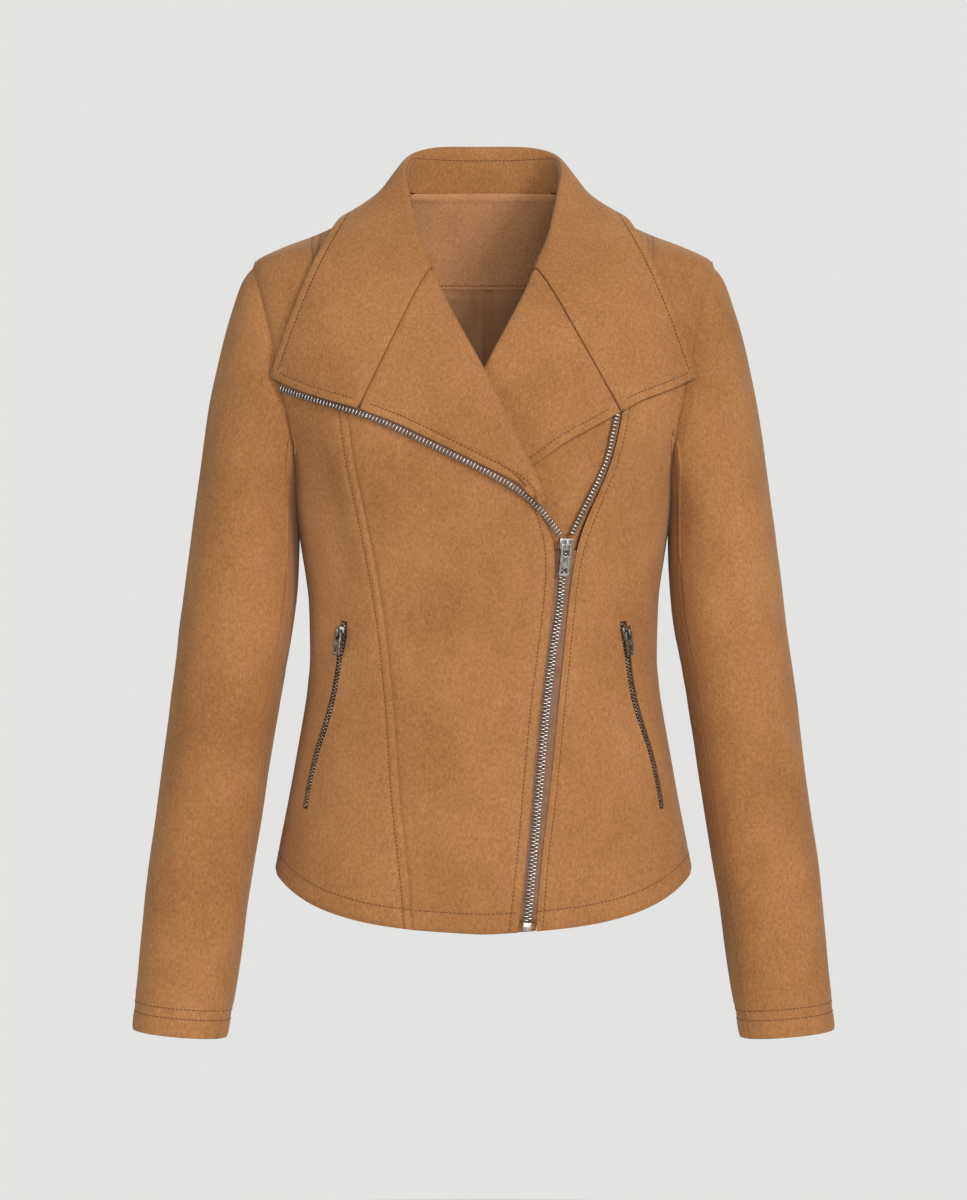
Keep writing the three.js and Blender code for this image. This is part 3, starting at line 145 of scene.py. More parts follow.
# Each piece: material, wall, subdivision levels, cut size (width, length) in metres
CLOTH = {
    "right_back": ("suede", SUEDE_WALL, 2, (0.225, 0.605)),
    "left_back": ("suede", SUEDE_WALL, 2, (0.225, 0.605)),
    "right_front": ("suede", SUEDE_WALL, 3, (0.190, 0.595)),
    "left_under_front": ("suede", SUEDE_WALL, 2, (0.170, 0.595)),
    "right_side_front": ("suede", SUEDE_WALL, 2, (0.150, 0.560)),
    "left_side_front": ("suede", SUEDE_WALL, 2, (0.160, 0.560)),
    "collar": ("suede", SUEDE_WALL, 2, (0.560, 0.170)),
    "right_lapel": ("suede", SUEDE_WALL, 2, (0.115, 0.200)),
    "left_lapel": ("suede", SUEDE_WALL, 2, (0.105, 0.200)),
    "right_top_sleeve": ("suede", SUEDE_WALL, 2, (0.260, 0.620)),
    "left_top_sleeve": ("suede", SUEDE_WALL, 2, (0.260, 0.620)),
    "right_under_sleeve": ("suede", SUEDE_WALL, 2, (0.110, 0.500)),
    "left_under_sleeve": ("suede", SUEDE_WALL, 2, (0.110, 0.500)),
    "back_neck_facing": ("facing", LINING_WALL, 2, (0.200, 0.080)),
    "back_lining": ("satin", LINING_WALL, 2, (0.400, 0.470)),
    "right_zip_tape": ("tape", TAPE_WALL, 2, (0.014, 0.300)),
    "left_zip_tape": ("tape", TAPE_WALL, 2, (0.014, 0.300)),
    "right_open_zip_tape": ("tape", TAPE_WALL, 2, (0.014, 0.290)),
    "left_open_zip_tape": ("tape", TAPE_WALL, 2, (0.014, 0.110)),
    "right_pocket_tape": ("dark_tape", TAPE_WALL, 2, (0.011, 0.150)),
    "left_pocket_tape": ("dark_tape", TAPE_WALL, 2, (0.011, 0.150)),
}
LINED = {
    "right_back", "left_back", "right_front", "left_under_front", "right_side_front",
    "left_side_front", "right_top_sleeve", "left_top_sleeve", "right_under_sleeve",
    "left_under_sleeve",
}
# Panels with a pocket slit: the tape in it, and the panel's corners in mm from its top inner one
SLIT_PIECES = {
    "right_side_front": (
        "right_pocket_tape", ((-131, 0, -36), (-184, 0, -60), (-167, 0, -545), (-55, -104, -584))),
    "left_side_front": (
        "left_pocket_tape", ((131, 0, -36), (184, 0, -60), (167, 0, -545), (41, -106, -585))),
}
SLIT_WIDTH = 6.8 * MM
SLIT_REACH = 6 * MM
FLAT_SEAMS = {
    "collar", "right_lapel", "left_lapel", "back_neck_facing", "right_top_sleeve",
    "left_top_sleeve", "right_under_sleeve", "left_under_sleeve",
}
NO_ROLL = {"tape", "dark_tape", "satin"}

# Rows of topstitching: the piece, a point in mm near the side that the row follows, its
# distance from that side, the length left free at the ends, and the cloth's inner face or not
STITCH_ROWS = (
    ("right_side_front", (-85, -92, -330), 6, 0, False),
    ("right_front", (50, -96, -330), 6.5, 0, False),
    ("left_side_front", (68, -95, -330), 4.5, 0, False),
    ("right_front", (-10, -108, -586), 15, 0, False),
    ("right_side_front", (-125, -85, -570), 15, 0, False),
    ("left_side_front", (110, -90, -575), 15, 0, False),
    ("right_back", (-90, 105, -565), 15, 0, False),
    ("left_back", (90, 105, -565), 15, 0, False),
    ("right_lapel", (-60, -85, -235), 6, 6, False),
    ("collar", (-135, -82, -168), 6, 6, False),
    ("left_lapel", (60, -95, -225), 6, 6, False),
    ("collar", (138, -82, -170), 6, 6, False),
    ("collar", (-140, -60, -120), 6, 6, False),
    ("collar", (140, -60, -120), 6, 6, False),
    ("collar", (0, 60, 0), 28, 60, False),
    ("right_top_sleeve", (-262, -20, -672), 14.5, 0, False),
    ("right_top_sleeve", (-262, -20, -672), 22, 0, False),
    ("left_top_sleeve", (262, -20, -672), 14.5, 0, False),
    ("left_top_sleeve", (262, -20, -672), 22, 0, False),
    ("right_under_sleeve", (-212, -20, -672), 14.5, 0, False),
    ("right_under_sleeve", (-212, -20, -672), 22, 0, False),
    ("left_under_sleeve", (212, -20, -672), 14.5, 0, False),
    ("left_under_sleeve", (212, -20, -672), 22, 0, False),
    ("back_neck_facing", (0, 80, -73), 3, 0, True),
)

# Soft creases: pieces, start and end across and up, bow, half width and depth, all in mm.
# A negative depth is a ridge.
FOLDS = (
    (("right_side_front", "right_front"), (-130, -205), (-110, -330), 6, 12, 3.4),
    (("right_side_front", "right_front"), (-116, -190), (-96, -300), -5, 10, -1.6),
    (("right_side_front", "right_front"), (-132, -330), (-104, -372), 3, 9, 1.4),
    (("right_side_front", "right_back"), (-151, -205), (-134, -390), 0, 15, -3.4),
    (("left_side_front", "left_back"), (151, -205), (134, -390), 0, 15, -3.4),
    (("right_side_front",), (-118, -368), (-127, -385), 2, 5, 1.4),
    (("right_side_front",), (-96, -345), (-120, -372), 3, 7, 1.4),
    (("left_side_front",), (92, -415), (104, -520), 5, 10, 1.6),
    (("left_side_front",), (112, -400), (120, -500), -4, 10, 1.2),
    (("left_side_front",), (128, -215), (104, -320), -6, 11, 1.6),
    (("left_under_front", "left_side_front"), (86, -230), (64, -300), 4, 8, 2.0),
    (("right_front",), (-40, -360), (22, -395), 8, 18, 1.2),
    (("right_front",), (-60, -250), (30, -275), -8, 20, 1.0),
    (("right_top_sleeve", "right_under_sleeve"), (-152, -185), (-156, -390), 0, 15, -3.2),
    (("right_top_sleeve", "right_under_sleeve"), (-182, -330), (-232, -372), 6, 12, 2.6),
    (("right_top_sleeve", "right_under_sleeve"), (-190, -400), (-242, -425), -5, 11, 1.6),
    (("right_top_sleeve", "right_under_sleeve"), (-205, -520), (-258, -552), 5, 10, 1.4),
    (("left_top_sleeve", "left_under_sleeve"), (152, -185), (156, -390), 0, 15, -3.2),
    (("left_top_sleeve", "left_under_sleeve"), (184, -322), (230, -378), -6, 12, 2.6),
    (("left_top_sleeve", "left_under_sleeve"), (192, -395), (244, -428), 5, 11, 1.6),
    (("left_top_sleeve", "left_under_sleeve"), (206, -535), (258, -560), -5, 10, 1.4),
    (("right_back", "left_back"), (-120, -330), (-30, -372), 8, 16, 1.6),
    (("right_back", "left_back"), (118, -322), (26, -368), -8, 16, 1.8),
    (("right_back", "left_back"), (-70, -395), (70, -402), 6, 14, 1.4),
    (("right_back",), (-140, -235), (-95, -330), 6, 12, 1.6),
    (("left_back",), (140, -235), (98, -322), -6, 12, 1.6),
)


# Materials

def new_material(name, colour, roughness):
    material = bpy.data.materials.new(name)
    material.use_nodes = True
    shader = material.node_tree.nodes["Principled BSDF"]
    shader.inputs["Base Color"].default_value = (*colour, 1)
    shader.inputs["Roughness"].default_value = roughness
    return material, material.node_tree, shader


def noise_node(tree, scale, detail, stretch=(1, 1, 1)):
    """Noise in the object's own metres. The stretch lengthens its grain along an axis."""
    coordinates = tree.nodes.new("ShaderNodeTexCoord")
    mapping = tree.nodes.new("ShaderNodeMapping")
    mapping.inputs["Scale"].default_value = stretch
    texture = tree.nodes.new("ShaderNodeTexNoise")
    texture.inputs["Scale"].default_value = scale
    texture.inputs["Detail"].default_value = detail
    tree.links.new(coordinates.outputs["Object"], mapping.inputs["Vector"])
    tree.links.new(mapping.outputs["Vector"], texture.inputs["Vector"])
    return texture.outputs["Fac"]


def ramp_node(tree, source, stops):
    """A colour ramp of (position, colour) stops, three numbers to a colour."""
    ramp = tree.nodes.new("ShaderNodeValToRGB")
    elements = ramp.color_ramp.elements
    while len(elements) < len(stops):
        elements.new(0.5)
    for element, (position, colour) in zip(elements, stops):
        element.position = position
        element.color = (*colour, 1)
    tree.links.new(source, ramp.inputs["Fac"])
    return ramp.outputs["Color"]


def added(tree, first, second, weight):
    """First plus the weighted second, both single values."""
    node = tree.nodes.new("ShaderNodeMath")
    node.operation = "MULTIPLY_ADD"
    node.inputs[1].default_value = weight
    tree.links.new(second, node.inputs[0])
    tree.links.new(first, node.inputs[2])
    return node.outputs[0]


def bump_node(tree, shader, height, strength, distance):
    bump = tree.nodes.new("ShaderNodeBump")
    bump.inputs["Strength"].default_value = strength
    bump.inputs["Distance"].default_value = distance
    tree.links.new(height, bump.inputs["Height"])
    tree.links.new(bump.outputs["Normal"], shader.inputs["Normal"])


def suede_material(name, dark, middle, light):
    """Brushed nap: fine fibres, finger-wide lighter and darker strokes, and a soft sheen."""
    material, tree, shader = new_material(name, middle, 0.93)
    shader.inputs["Specular IOR Level"].default_value = 0.12
    shader.inputs["Sheen Weight"].default_value = 0.16
    shader.inputs["Sheen Roughness"].default_value = 0.55
    shader.inputs["Sheen Tint"].default_value = (1.0, 0.80, 0.58, 1)
    fibres = noise_node(tree, 1000, 3, (1, 1, 0.6))
    grain = noise_node(tree, 480, 2, (1, 1, 0.7))
    strokes = noise_node(tree, 60, 3, (1, 1, 0.6))
    patches = noise_node(tree, 11, 3)
    nap = added(tree, added(tree, grain, strokes, 0.35), patches, 1.0)
    nap = added(tree, nap, fibres, 1.0)
    even = tree.nodes.new("ShaderNodeMapRange")
    even.inputs["From Min"].default_value = 0.95
    even.inputs["From Max"].default_value = 2.40
    tree.links.new(nap, even.inputs["Value"])
    colour = ramp_node(tree, even.outputs["Result"], ((0.2, dark), (0.5, middle), (0.8, light)))
    tree.links.new(colour, shader.inputs["Base Color"])
    bump_node(tree, shader, added(tree, fibres, grain, 0.8), 0.35, 0.5 * MM)
    return material


def satin_material():
    """Brown lining satin with a fine twill line and a soft gloss."""
    material, tree, shader = new_material("brown_satin", (0.36, 0.17, 0.078), 0.55)
    shader.inputs["Specular IOR Level"].default_value = 0.2
    shader.inputs["Anisotropic"].default_value = 0.4
    threads = noise_node(tree, 700, 2, (1, 1, 0.12))
    cloud = noise_node(tree, 30, 2)
    colour = ramp_node(tree, added(tree, cloud, threads, 0.4),
                       ((0.4, (0.31, 0.145, 0.064)), (1.0, (0.45, 0.22, 0.10))))
    tree.links.new(colour, shader.inputs["Base Color"])
    bump_node(tree, shader, threads, 0.15, 0.2 * MM)
    return material


def tape_material(name, dark, light):
    """Woven zip tape: fine herringbone ribs."""
    material, tree, shader = new_material(name, light, 0.85)
    shader.inputs["Specular IOR Level"].default_value = 0.2
    shader.inputs["Sheen Weight"].default_value = 0.1
    coordinates = tree.nodes.new("ShaderNodeTexCoord")
    ribs = tree.nodes.new("ShaderNodeTexWave")
    ribs.bands_direction = "DIAGONAL"
    ribs.inputs["Scale"].default_value = 300
    ribs.inputs["Distortion"].default_value = 1.5
    ribs.inputs["Detail"].default_value = 1
    tree.links.new(coordinates.outputs["Object"], ribs.inputs["Vector"])
    cloud = noise_node(tree, 160, 2)
    weave = added(tree, cloud, ribs.outputs["Fac"], 0.5)
    colour = ramp_node(tree, weave, ((0.3, dark), (0.9, light)))
    tree.links.new(colour, shader.inputs["Base Color"])
    bump_node(tree, shader, weave, 0.3, 0.25 * MM)
    return material


def thread_material():
    material, tree, shader = new_material("tan_thread", (0.13, 0.052, 0.02), 0.6)
    shader.inputs["Specular IOR Level"].default_value = 0.3
    shader.inputs["Sheen Weight"].default_value = 0.15
    twist = noise_node(tree, 1500, 1)
    colour = ramp_node(tree, twist, ((0.3, (0.095, 0.036, 0.014)), (0.7, (0.17, 0.072, 0.028))))
    tree.links.new(colour, shader.inputs["Base Color"])
    bump_node(tree, shader, twist, 0.2, 0.1 * MM)
    return material


def metal_material(name, dark, light, roughness):
    """Plated metal, a little worn and uneven."""
    material, tree, shader = new_material(name, light, roughness)
    shader.inputs["Metallic"].default_value = 1
    tarnish = noise_node(tree, 420, 3)
    colour = ramp_node(tree, tarnish, ((0.35, dark), (0.65, light)))
    tree.links.new(colour, shader.inputs["Base Color"])
    gloss = tree.nodes.new("ShaderNodeMapRange")
    gloss.inputs["To Min"].default_value = roughness - 0.08
    gloss.inputs["To Max"].default_value = roughness + 0.12
    tree.links.new(tarnish, gloss.inputs["Value"])
    tree.links.new(gloss.outputs["Result"], shader.inputs["Roughness"])
    bump_node(tree, shader, noise_node(tree, 1600, 2), 0.12, 0.1 * MM)
    return material


MATERIALS = {
    "suede": suede_material(
        "tan_suede", (0.262, 0.110, 0.037), (0.352, 0.156, 0.056), (0.445, 0.212, 0.082)),
    # The facing's suede is a lighter copy of the tan suede: painted light, which brightens the
    # inside of the neck that the lamps leave in shade.
    "facing": suede_material(
        "facing_suede_painted_light", (0.40, 0.185, 0.083), (0.50, 0.245, 0.113), (0.60, 0.31, 0.148)),
    "satin": satin_material(),
    "tape": tape_material("brown_tape", (0.15, 0.068, 0.038), (0.27, 0.142, 0.088)),
    "dark_tape": tape_material("dark_tape", (0.05, 0.026, 0.017), (0.12, 0.066, 0.043)),
    "thread": thread_material(),
    "silver": metal_material("aged_silver", (0.30, 0.28, 0.25), (0.62, 0.60, 0.57), 0.34),
    "dark_metal": metal_material("dark_metal", (0.15, 0.14, 0.13), (0.40, 0.37, 0.34), 0.30),
    "brown_metal": metal_material("brown_metal", (0.24, 0.19, 0.15), (0.55, 0.47, 0.39), 0.36),
}


# Meshes from the frame

def merged_copy(node):
    """The node's mesh as one skin of quads."""
    bm = bmesh.new()
    bm.from_mesh(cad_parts[node].data)
    bm.verts.layers.float.new("crease_vert")
    bmesh.ops.remove_doubles(bm, verts=bm.verts, dist=MERGE)
    bmesh.ops.dissolve_degenerate(bm, dist=SLIVER, edges=bm.edges[:])
    bmesh.ops.join_triangles(
        bm, faces=bm.faces[:], angle_face_threshold=QUAD_FACE_ANGLE,
        angle_shape_threshold=QUAD_SHAPE_ANGLE)
    bm.normal_update()
    return bm


def keep_outer_side(bm, wall_edge=WALL_EDGE):
    """Leaves the outer face of a wall, which is the larger one, or else the one facing away."""
    bm.faces.index_update()
    region = [-1] * len(bm.faces)
    regions = []
    for first in bm.faces:
        if region[first.index] >= 0:
            continue
        label = len(regions)
        region[first.index] = label
        waiting = [first]
        area = outward = 0
        while waiting:
            face = waiting.pop()
            centre = face.calc_center_median()
            area += face.calc_area()
            outward += face.calc_area() * face.normal.dot(Vector((centre.x, centre.y, 0)))
            for edge in face.edges:
                if edge.calc_face_angle(math.pi) > wall_edge:
                    continue
                for other in edge.link_faces:
                    if region[other.index] < 0:
                        region[other.index] = label
                        waiting.append(other)
        regions.append((area, outward, label))
    largest = sorted(regions, reverse=True)[:2]
    clear = largest[0][0] > CLEARLY_LARGER * largest[1][0]
    outer = largest[0][2] if clear else max(largest, key=lambda row: row[1])[2]
    doomed = [face for face in bm.faces if region[face.index] != outer]
    bmesh.ops.delete(bm, geom=doomed, context="FACES")


def peel_rim(bm):
    """Takes off the narrow faces of a wall's rim that carry on from its outer side."""
    rim = []
    for face in bm.faces:
        free = [edge.calc_length() for edge in face.edges if edge.is_boundary]
        if free and face.calc_area() < RIM_WIDTH * max(free):
            rim.append(face)
    bmesh.ops.delete(bm, geom=rim, context="FACES")


def border_verts(bm):
    """The outermost border's vertices in order."""
    seen = set()
    loops = []
    for first in bm.verts:
        if not first.is_boundary or first in seen:
            continue
        loop = [first]
        for vert in loop:
            seen.add(vert)
            ahead = [
                edge.other_vert(vert) for edge in vert.link_edges
                if edge.is_boundary and edge.other_vert(vert) not in seen
            ]
            loop += ahead[:1]
        loops.append(loop)
    return max(loops, key=lambda loop: max((v.co - loop[0].co).length for v in loop))


def along_side(side, share):
    """The place that share of the way along a side, counted in its vertices."""
    at = share * (len(side) - 1)
    i = min(int(at), len(side) - 2)
    return side[i].lerp(side[i + 1], at - i)


def without_slit(bm, corners):
    """The sheet laid out anew in rows and columns between four corners, with its slit closed."""
    surface = BVHTree.FromBMesh(bm)
    loop = [vert.co.copy() for vert in border_verts(bm)]
    cuts = [
        min(range(len(loop)), key=lambda i: (loop[i] - Vector(corner) * MM).length)
        for corner in corners
    ]
    if (cuts[1] - cuts[0]) % len(loop) > len(loop) / 2:
        loop.reverse()
        cuts = [len(loop) - 1 - cut for cut in cuts]
    sides = []
    for start, stop in zip(cuts, cuts[1:] + cuts[:1]):
        count = (stop - start) % len(loop)
        sides.append([loop[(start + i) % len(loop)] for i in range(count + 1)])
    top, outer, bottom, inner = sides[0], sides[1], sides[2][::-1], sides[3][::-1]
    rows, columns = len(inner) - 1, len(bottom) - 1
    grid = bmesh.new()
    grid.verts.layers.float.new("crease_vert")
    bmesh.ops.create_grid(grid, x_segments=columns, y_segments=rows, size=1)
    for vert in grid.verts:
        u, v = (vert.co.x + 1) / 2, (1 - vert.co.y) / 2
        across = along_side(inner, v).lerp(along_side(outer, v), u)
        down = along_side(top, u).lerp(along_side(bottom, u), v)
        upper, lower = top[0].lerp(top[-1], u), bottom[0].lerp(bottom[-1], u)
        place = across + down - upper.lerp(lower, v)
        if not vert.is_boundary:
            place = surface.find_nearest(place)[0]
        vert.co = place
    grid.normal_update()
    outward = sum(f.normal.dot(Vector((*f.calc_center_median().xy, 0))) for f in grid.faces)
    if outward < 0:
        bmesh.ops.reverse_faces(grid, faces=grid.faces[:])
    bm.free()
    grid.normal_update()
    return grid


def cut_slit(piece, tape):
    """Cuts the pocket slit through a walled piece, along the middle of its tape."""
    path = strip_path(tape)
    bm = bmesh.new()
    bmesh.ops.create_grid(bm, x_segments=len(path) - 1, y_segments=1, size=1)
    away = {}
    for vert in bm.verts:
        i = round((vert.co.x + 1) / 2 * (len(path) - 1))
        place, facing = path[i]
        along = path[min(i + 1, len(path) - 1)][0] - path[max(i - 1, 0)][0]
        aside = facing.cross(along).normalized() * (SLIT_WIDTH / 2)
        vert.co = place + (aside if vert.co.y > 0 else -aside) - facing * SLIT_REACH
        away[vert] = facing * 2 * SLIT_REACH
    shifts = list(away.values())
    lower = list(away)
    made = bmesh.ops.extrude_face_region(bm, geom=bm.faces[:])["geom"]
    raised = [item for item in made if isinstance(item, bmesh.types.BMVert)]
    for vert in raised:
        nearest = min(range(len(lower)), key=lambda i: (lower[i].co - vert.co).length)
        vert.co += shifts[nearest]
    bmesh.ops.recalc_face_normals(bm, faces=bm.faces[:])
    mesh = bpy.data.meshes.new("slit")
    bm.to_mesh(mesh)
    bm.free()
    cutter = bpy.data.objects.new("slit", mesh)
    bpy.context.scene.collection.objects.link(cutter)
    cut = piece.modifiers.new("slit", "BOOLEAN")
    cut.operation = "DIFFERENCE"
    cut.solver = "EXACT"
    cut.object = cutter
    evaluated = piece.evaluated_get(bpy.context.evaluated_depsgraph_get())
    finished = bpy.data.meshes.new_from_object(evaluated)
    piece.modifiers.clear()
    piece.data = finished
    bpy.data.objects.remove(cutter)
    finished.set_sharp_from_angle(angle=CUT_SHARP)


def border_corners(bm):
    """Border vertices where the border turns a corner."""
    corners = []
    for vert in bm.verts:
        sides = [edge.other_vert(vert).co - vert.co for edge in vert.link_edges if edge.is_boundary]
        if len(sides) == 2 and (-sides[0]).angle(sides[1], 0) > CORNER:
            corners.append(vert)
    return corners


def subdivided(bm, name, levels, corners):
    """The sheet as a smooth mesh whose corners stay sharp."""
    crease = bm.verts.layers.float["crease_vert"]
    for vert in corners:
        vert[crease] = 1
    mesh = bpy.data.meshes.new(name)
    bm.to_mesh(mesh)
    rough = bpy.data.objects.new(name + "_rough", mesh)
    bpy.context.scene.collection.objects.link(rough)
    modifier = rough.modifiers.new("smooth", "SUBSURF")
    modifier.levels = modifier.render_levels = levels
    modifier.boundary_smooth = "PRESERVE_CORNERS"
    evaluated = rough.evaluated_get(bpy.context.evaluated_depsgraph_get())
    fine = bpy.data.meshes.new_from_object(evaluated)
    bpy.data.objects.remove(rough)
    bpy.data.meshes.remove(mesh)
    fine.name = name
    return fine


def border_loops(mesh):
    """The sheet's borders, each a closed list of (place, inward direction, face normal)."""
    bm = bmesh.new()
    bm.from_mesh(mesh)
    bm.normal_update()
    seen = set()
    loops = []
    for first in bm.edges:
        if not first.is_boundary or first in seen:
            continue
        loop = []
        vert, edge = first.verts[0], first
        while edge not in seen:
            seen.add(edge)
            face = edge.link_faces[0]
            after = edge.other_vert(vert)
            along = (after.co - vert.co).normalized()
            inward = face.normal.cross(along)
            middle = (after.co + vert.co) / 2
            if inward.dot(face.calc_center_median() - middle) < 0:
                inward.negate()
            loop.append((vert.co.copy(), inward, face.normal.copy()))
            vert = after
            following = [e for e in vert.link_edges if e.is_boundary and e not in seen]
            edge = following[0] if following else edge
        loops.append(loop)
    bm.free()
    return sorted(loops, key=len, reverse=True)


def border_side(loop, corners, near):
    """The stretch of a border, between two corners, that comes nearest to a point."""
    cuts = sorted({min(range(len(loop)), key=lambda i: (loop[i][0] - c).length) for c in corners})
    sides = []
    for start, stop in zip(cuts, cuts[1:] + [cuts[0] + len(loop)]):
        sides.append([loop[i % len(loop)] for i in range(start, stop)] + [loop[stop % len(loop)]])
    sides = [side for side in sides if len(side) > 3]
    return min(sides, key=lambda side: min((spot[0] - near).length for spot in side[1:-1]))


def evenly(points, pitch):
    """Points at an even pitch along a polyline, with the direction of travel at each."""
    points = np.array(points)
    steps = np.linalg.norm(np.diff(points, axis=0), axis=1)
    run = np.concatenate([[0], np.cumsum(steps)])
    count = max(2, int(run[-1] / pitch))
    at = (np.arange(count) + 0.5) * run[-1] / count
    places = np.stack([np.interp(at, run, points[:, k]) for k in range(3)], axis=1)
    ahead = np.stack([np.interp(at + pitch / 2, run, points[:, k]) for k in range(3)], axis=1)
    behind = np.stack([np.interp(at - pitch / 2, run, points[:, k]) for k in range(3)], axis=1)
    return places, ahead - behind


# Cloth

def fold_shift(name, places):
    """How far each point sinks into the soft creases of a piece."""
    shift = np.zeros(len(places))
    for pieces, start, end, bow, half_width, depth in FOLDS:
        if name not in pieces:
            continue
        start, end = np.array(start) * MM, np.array(end) * MM
        along = end - start
        length = np.linalg.norm(along)
        along /= length
        flat = places[:, [0, 2]] - start
        travel = np.clip(flat @ along / length, 0, 1)
        past = np.abs(flat @ along / length - 0.5) - 0.5
        bend = 4 * bow * MM * travel * (1 - travel)
        aside = flat @ np.array((-along[1], along[0])) - bend
        fade = np.sin(np.pi * np.clip(travel, FOLD_TIP, 1 - FOLD_TIP)) ** FOLD_TAPER
        fade = fade * np.exp(-(np.maximum(past, 0) * length / FOLD_FADE) ** 2)
        shift -= depth * MM * fade * np.exp(-(aside / (half_width * MM)) ** 2)
    return shift


def lining_shift(places):
    """Small gathers below the facing, and a centre pleat, which both die out downwards."""
    below = np.clip((GATHER_TOP - places[:, 2]) / GATHER_FADE, 0, 1)
    drift = GATHER_SWING * np.sin(places[:, 0] / MM * GATHER_DRIFT)
    ripple = np.sin(places[:, 0] / MM * GATHER_WAVE + drift)
    gathers = -GATHER_DEPTH * ripple * (1 - below) - GATHER_SINK * (1 - below)
    behind = np.clip(places[:, 0] / PLEAT_WIDTH, 0, 1)
    pleat = np.where(places[:, 0] > 0, 1 - behind, 0)
    fade = np.clip((places[:, 2] - PLEAT_END) / PLEAT_FADE, 0, 1)
    return gathers + PLEAT_DEPTH * pleat * fade


def border_reach(name, height):
    """How far a border at this height goes out into its seam."""
    if name.endswith("sleeve"):
        return CAP_REACH if height > CAP_LOWEST else 0
    if name == "back_neck_facing" and height > FACING_MIDDLE:
        return FACING_REACH
    return BACK_REACH if name in ("right_back", "left_back") else SEAM_REACH


def shape_sheet(name, mesh, loops, stitches, rolls):
    """Rolls the borders, sinks the stitch rows and folds, and lets the cloth lie unevenly."""
    count = len(mesh.vertices)
    places = np.empty(3 * count, np.float32)
    normals = np.empty(3 * count, np.float32)
    mesh.vertices.foreach_get("co", places)
    mesh.vertices.foreach_get("normal", normals)
    places = places.reshape(-1, 3).astype(float)
    normals = normals.reshape(-1, 3).astype(float)
    shift = fold_shift(name, places)
    depth = FLAT_DEPTH if name in FLAT_SEAMS else SEAM_DEPTH
    if name == "back_lining":
        shift += lining_shift(places)
    if rolls:
        border = [spot[0] for loop in loops for spot in loop]
        inwards = [spot[1] for loop in loops for spot in loop]
        tree = KDTree(len(border))
        for i, place in enumerate(border):
            tree.insert(place, i)
        tree.balance()
        rows = KDTree(max(1, len(stitches)))
        for i, place in enumerate(stitches):
            rows.insert(place, i)
        rows.balance()
        for i in range(count):
            edge = tree.find(places[i])[2]
            if edge < SEAM_ROLL:
                shift[i] -= depth * (1 - edge / SEAM_ROLL) ** 2
            if edge < ON_BORDER:
                inward = np.array(inwards[tree.find(places[i])[1]])
                places[i] -= inward * border_reach(name, places[i][2])
            if stitches:
                row = rows.find(places[i])[2]
                shift[i] -= STITCH_PULL * math.exp(-(row / STITCH_SPREAD) ** 2)
            calm = min(1, edge / WAVE_CALM)
            spot = Vector(places[i]) / WAVE_SIZE
            wave = noise.noise(spot) + WAVE_DETAIL * noise.noise(spot * WAVE_FINER)
            shift[i] += WAVE_DEPTH * calm * wave
    places += normals * shift[:, None]
    mesh.vertices.foreach_set("co", places.astype(np.float32).ravel())
    mesh.update()


def stitch_path(loop, corners, near, distance, free):
    """Where a row of stitches runs, before it is laid on the cloth."""
    side = border_side(loop, corners, Vector(near) * MM)
    points = [place + inward * distance * MM for place, inward, _ in side[:-1]]
    points.append(side[-1][0] + side[-2][1] * distance * MM)
    lengths = np.cumsum([0] + [(b - a).length for a, b in zip(points, points[1:])])
    kept = [
        point for point, run in zip(points, lengths)
        if free * MM <= run <= lengths[-1] - free * MM
    ]
    return kept


def scattered(name, template, places, material):
    """One mesh of many small copies, each set by a 4 by 4 placement."""
    template.verts.index_update()
    shape = np.array([v.co[:] for v in template.verts])
    faces = [[v.index for v in f.verts] for f in template.faces]
    points = [shape @ np.array(m.to_3x3()).T + np.array(m.translation) for m in places]
    polygons = [
        [index + i * len(shape) for index in face] for i in range(len(places)) for face in faces
    ]
    mesh = bpy.data.meshes.new(name)
    mesh.from_pydata(np.concatenate(points).tolist(), [], polygons)
    mesh.shade_smooth()
    mesh.materials.append(material)
    piece = bpy.data.objects.new(name, mesh)
    bpy.context.scene.collection.objects.link(piece)
    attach(piece, "root")
    return piece


def placement(place, along, up):
    """A placement with x along and z up."""
    along = Vector(along).normalized()
    side = Vector(up).cross(along).normalized()
    top = along.cross(side)
    return Matrix.Translation(place) @ Matrix((along, side, top)).transposed().to_4x4()


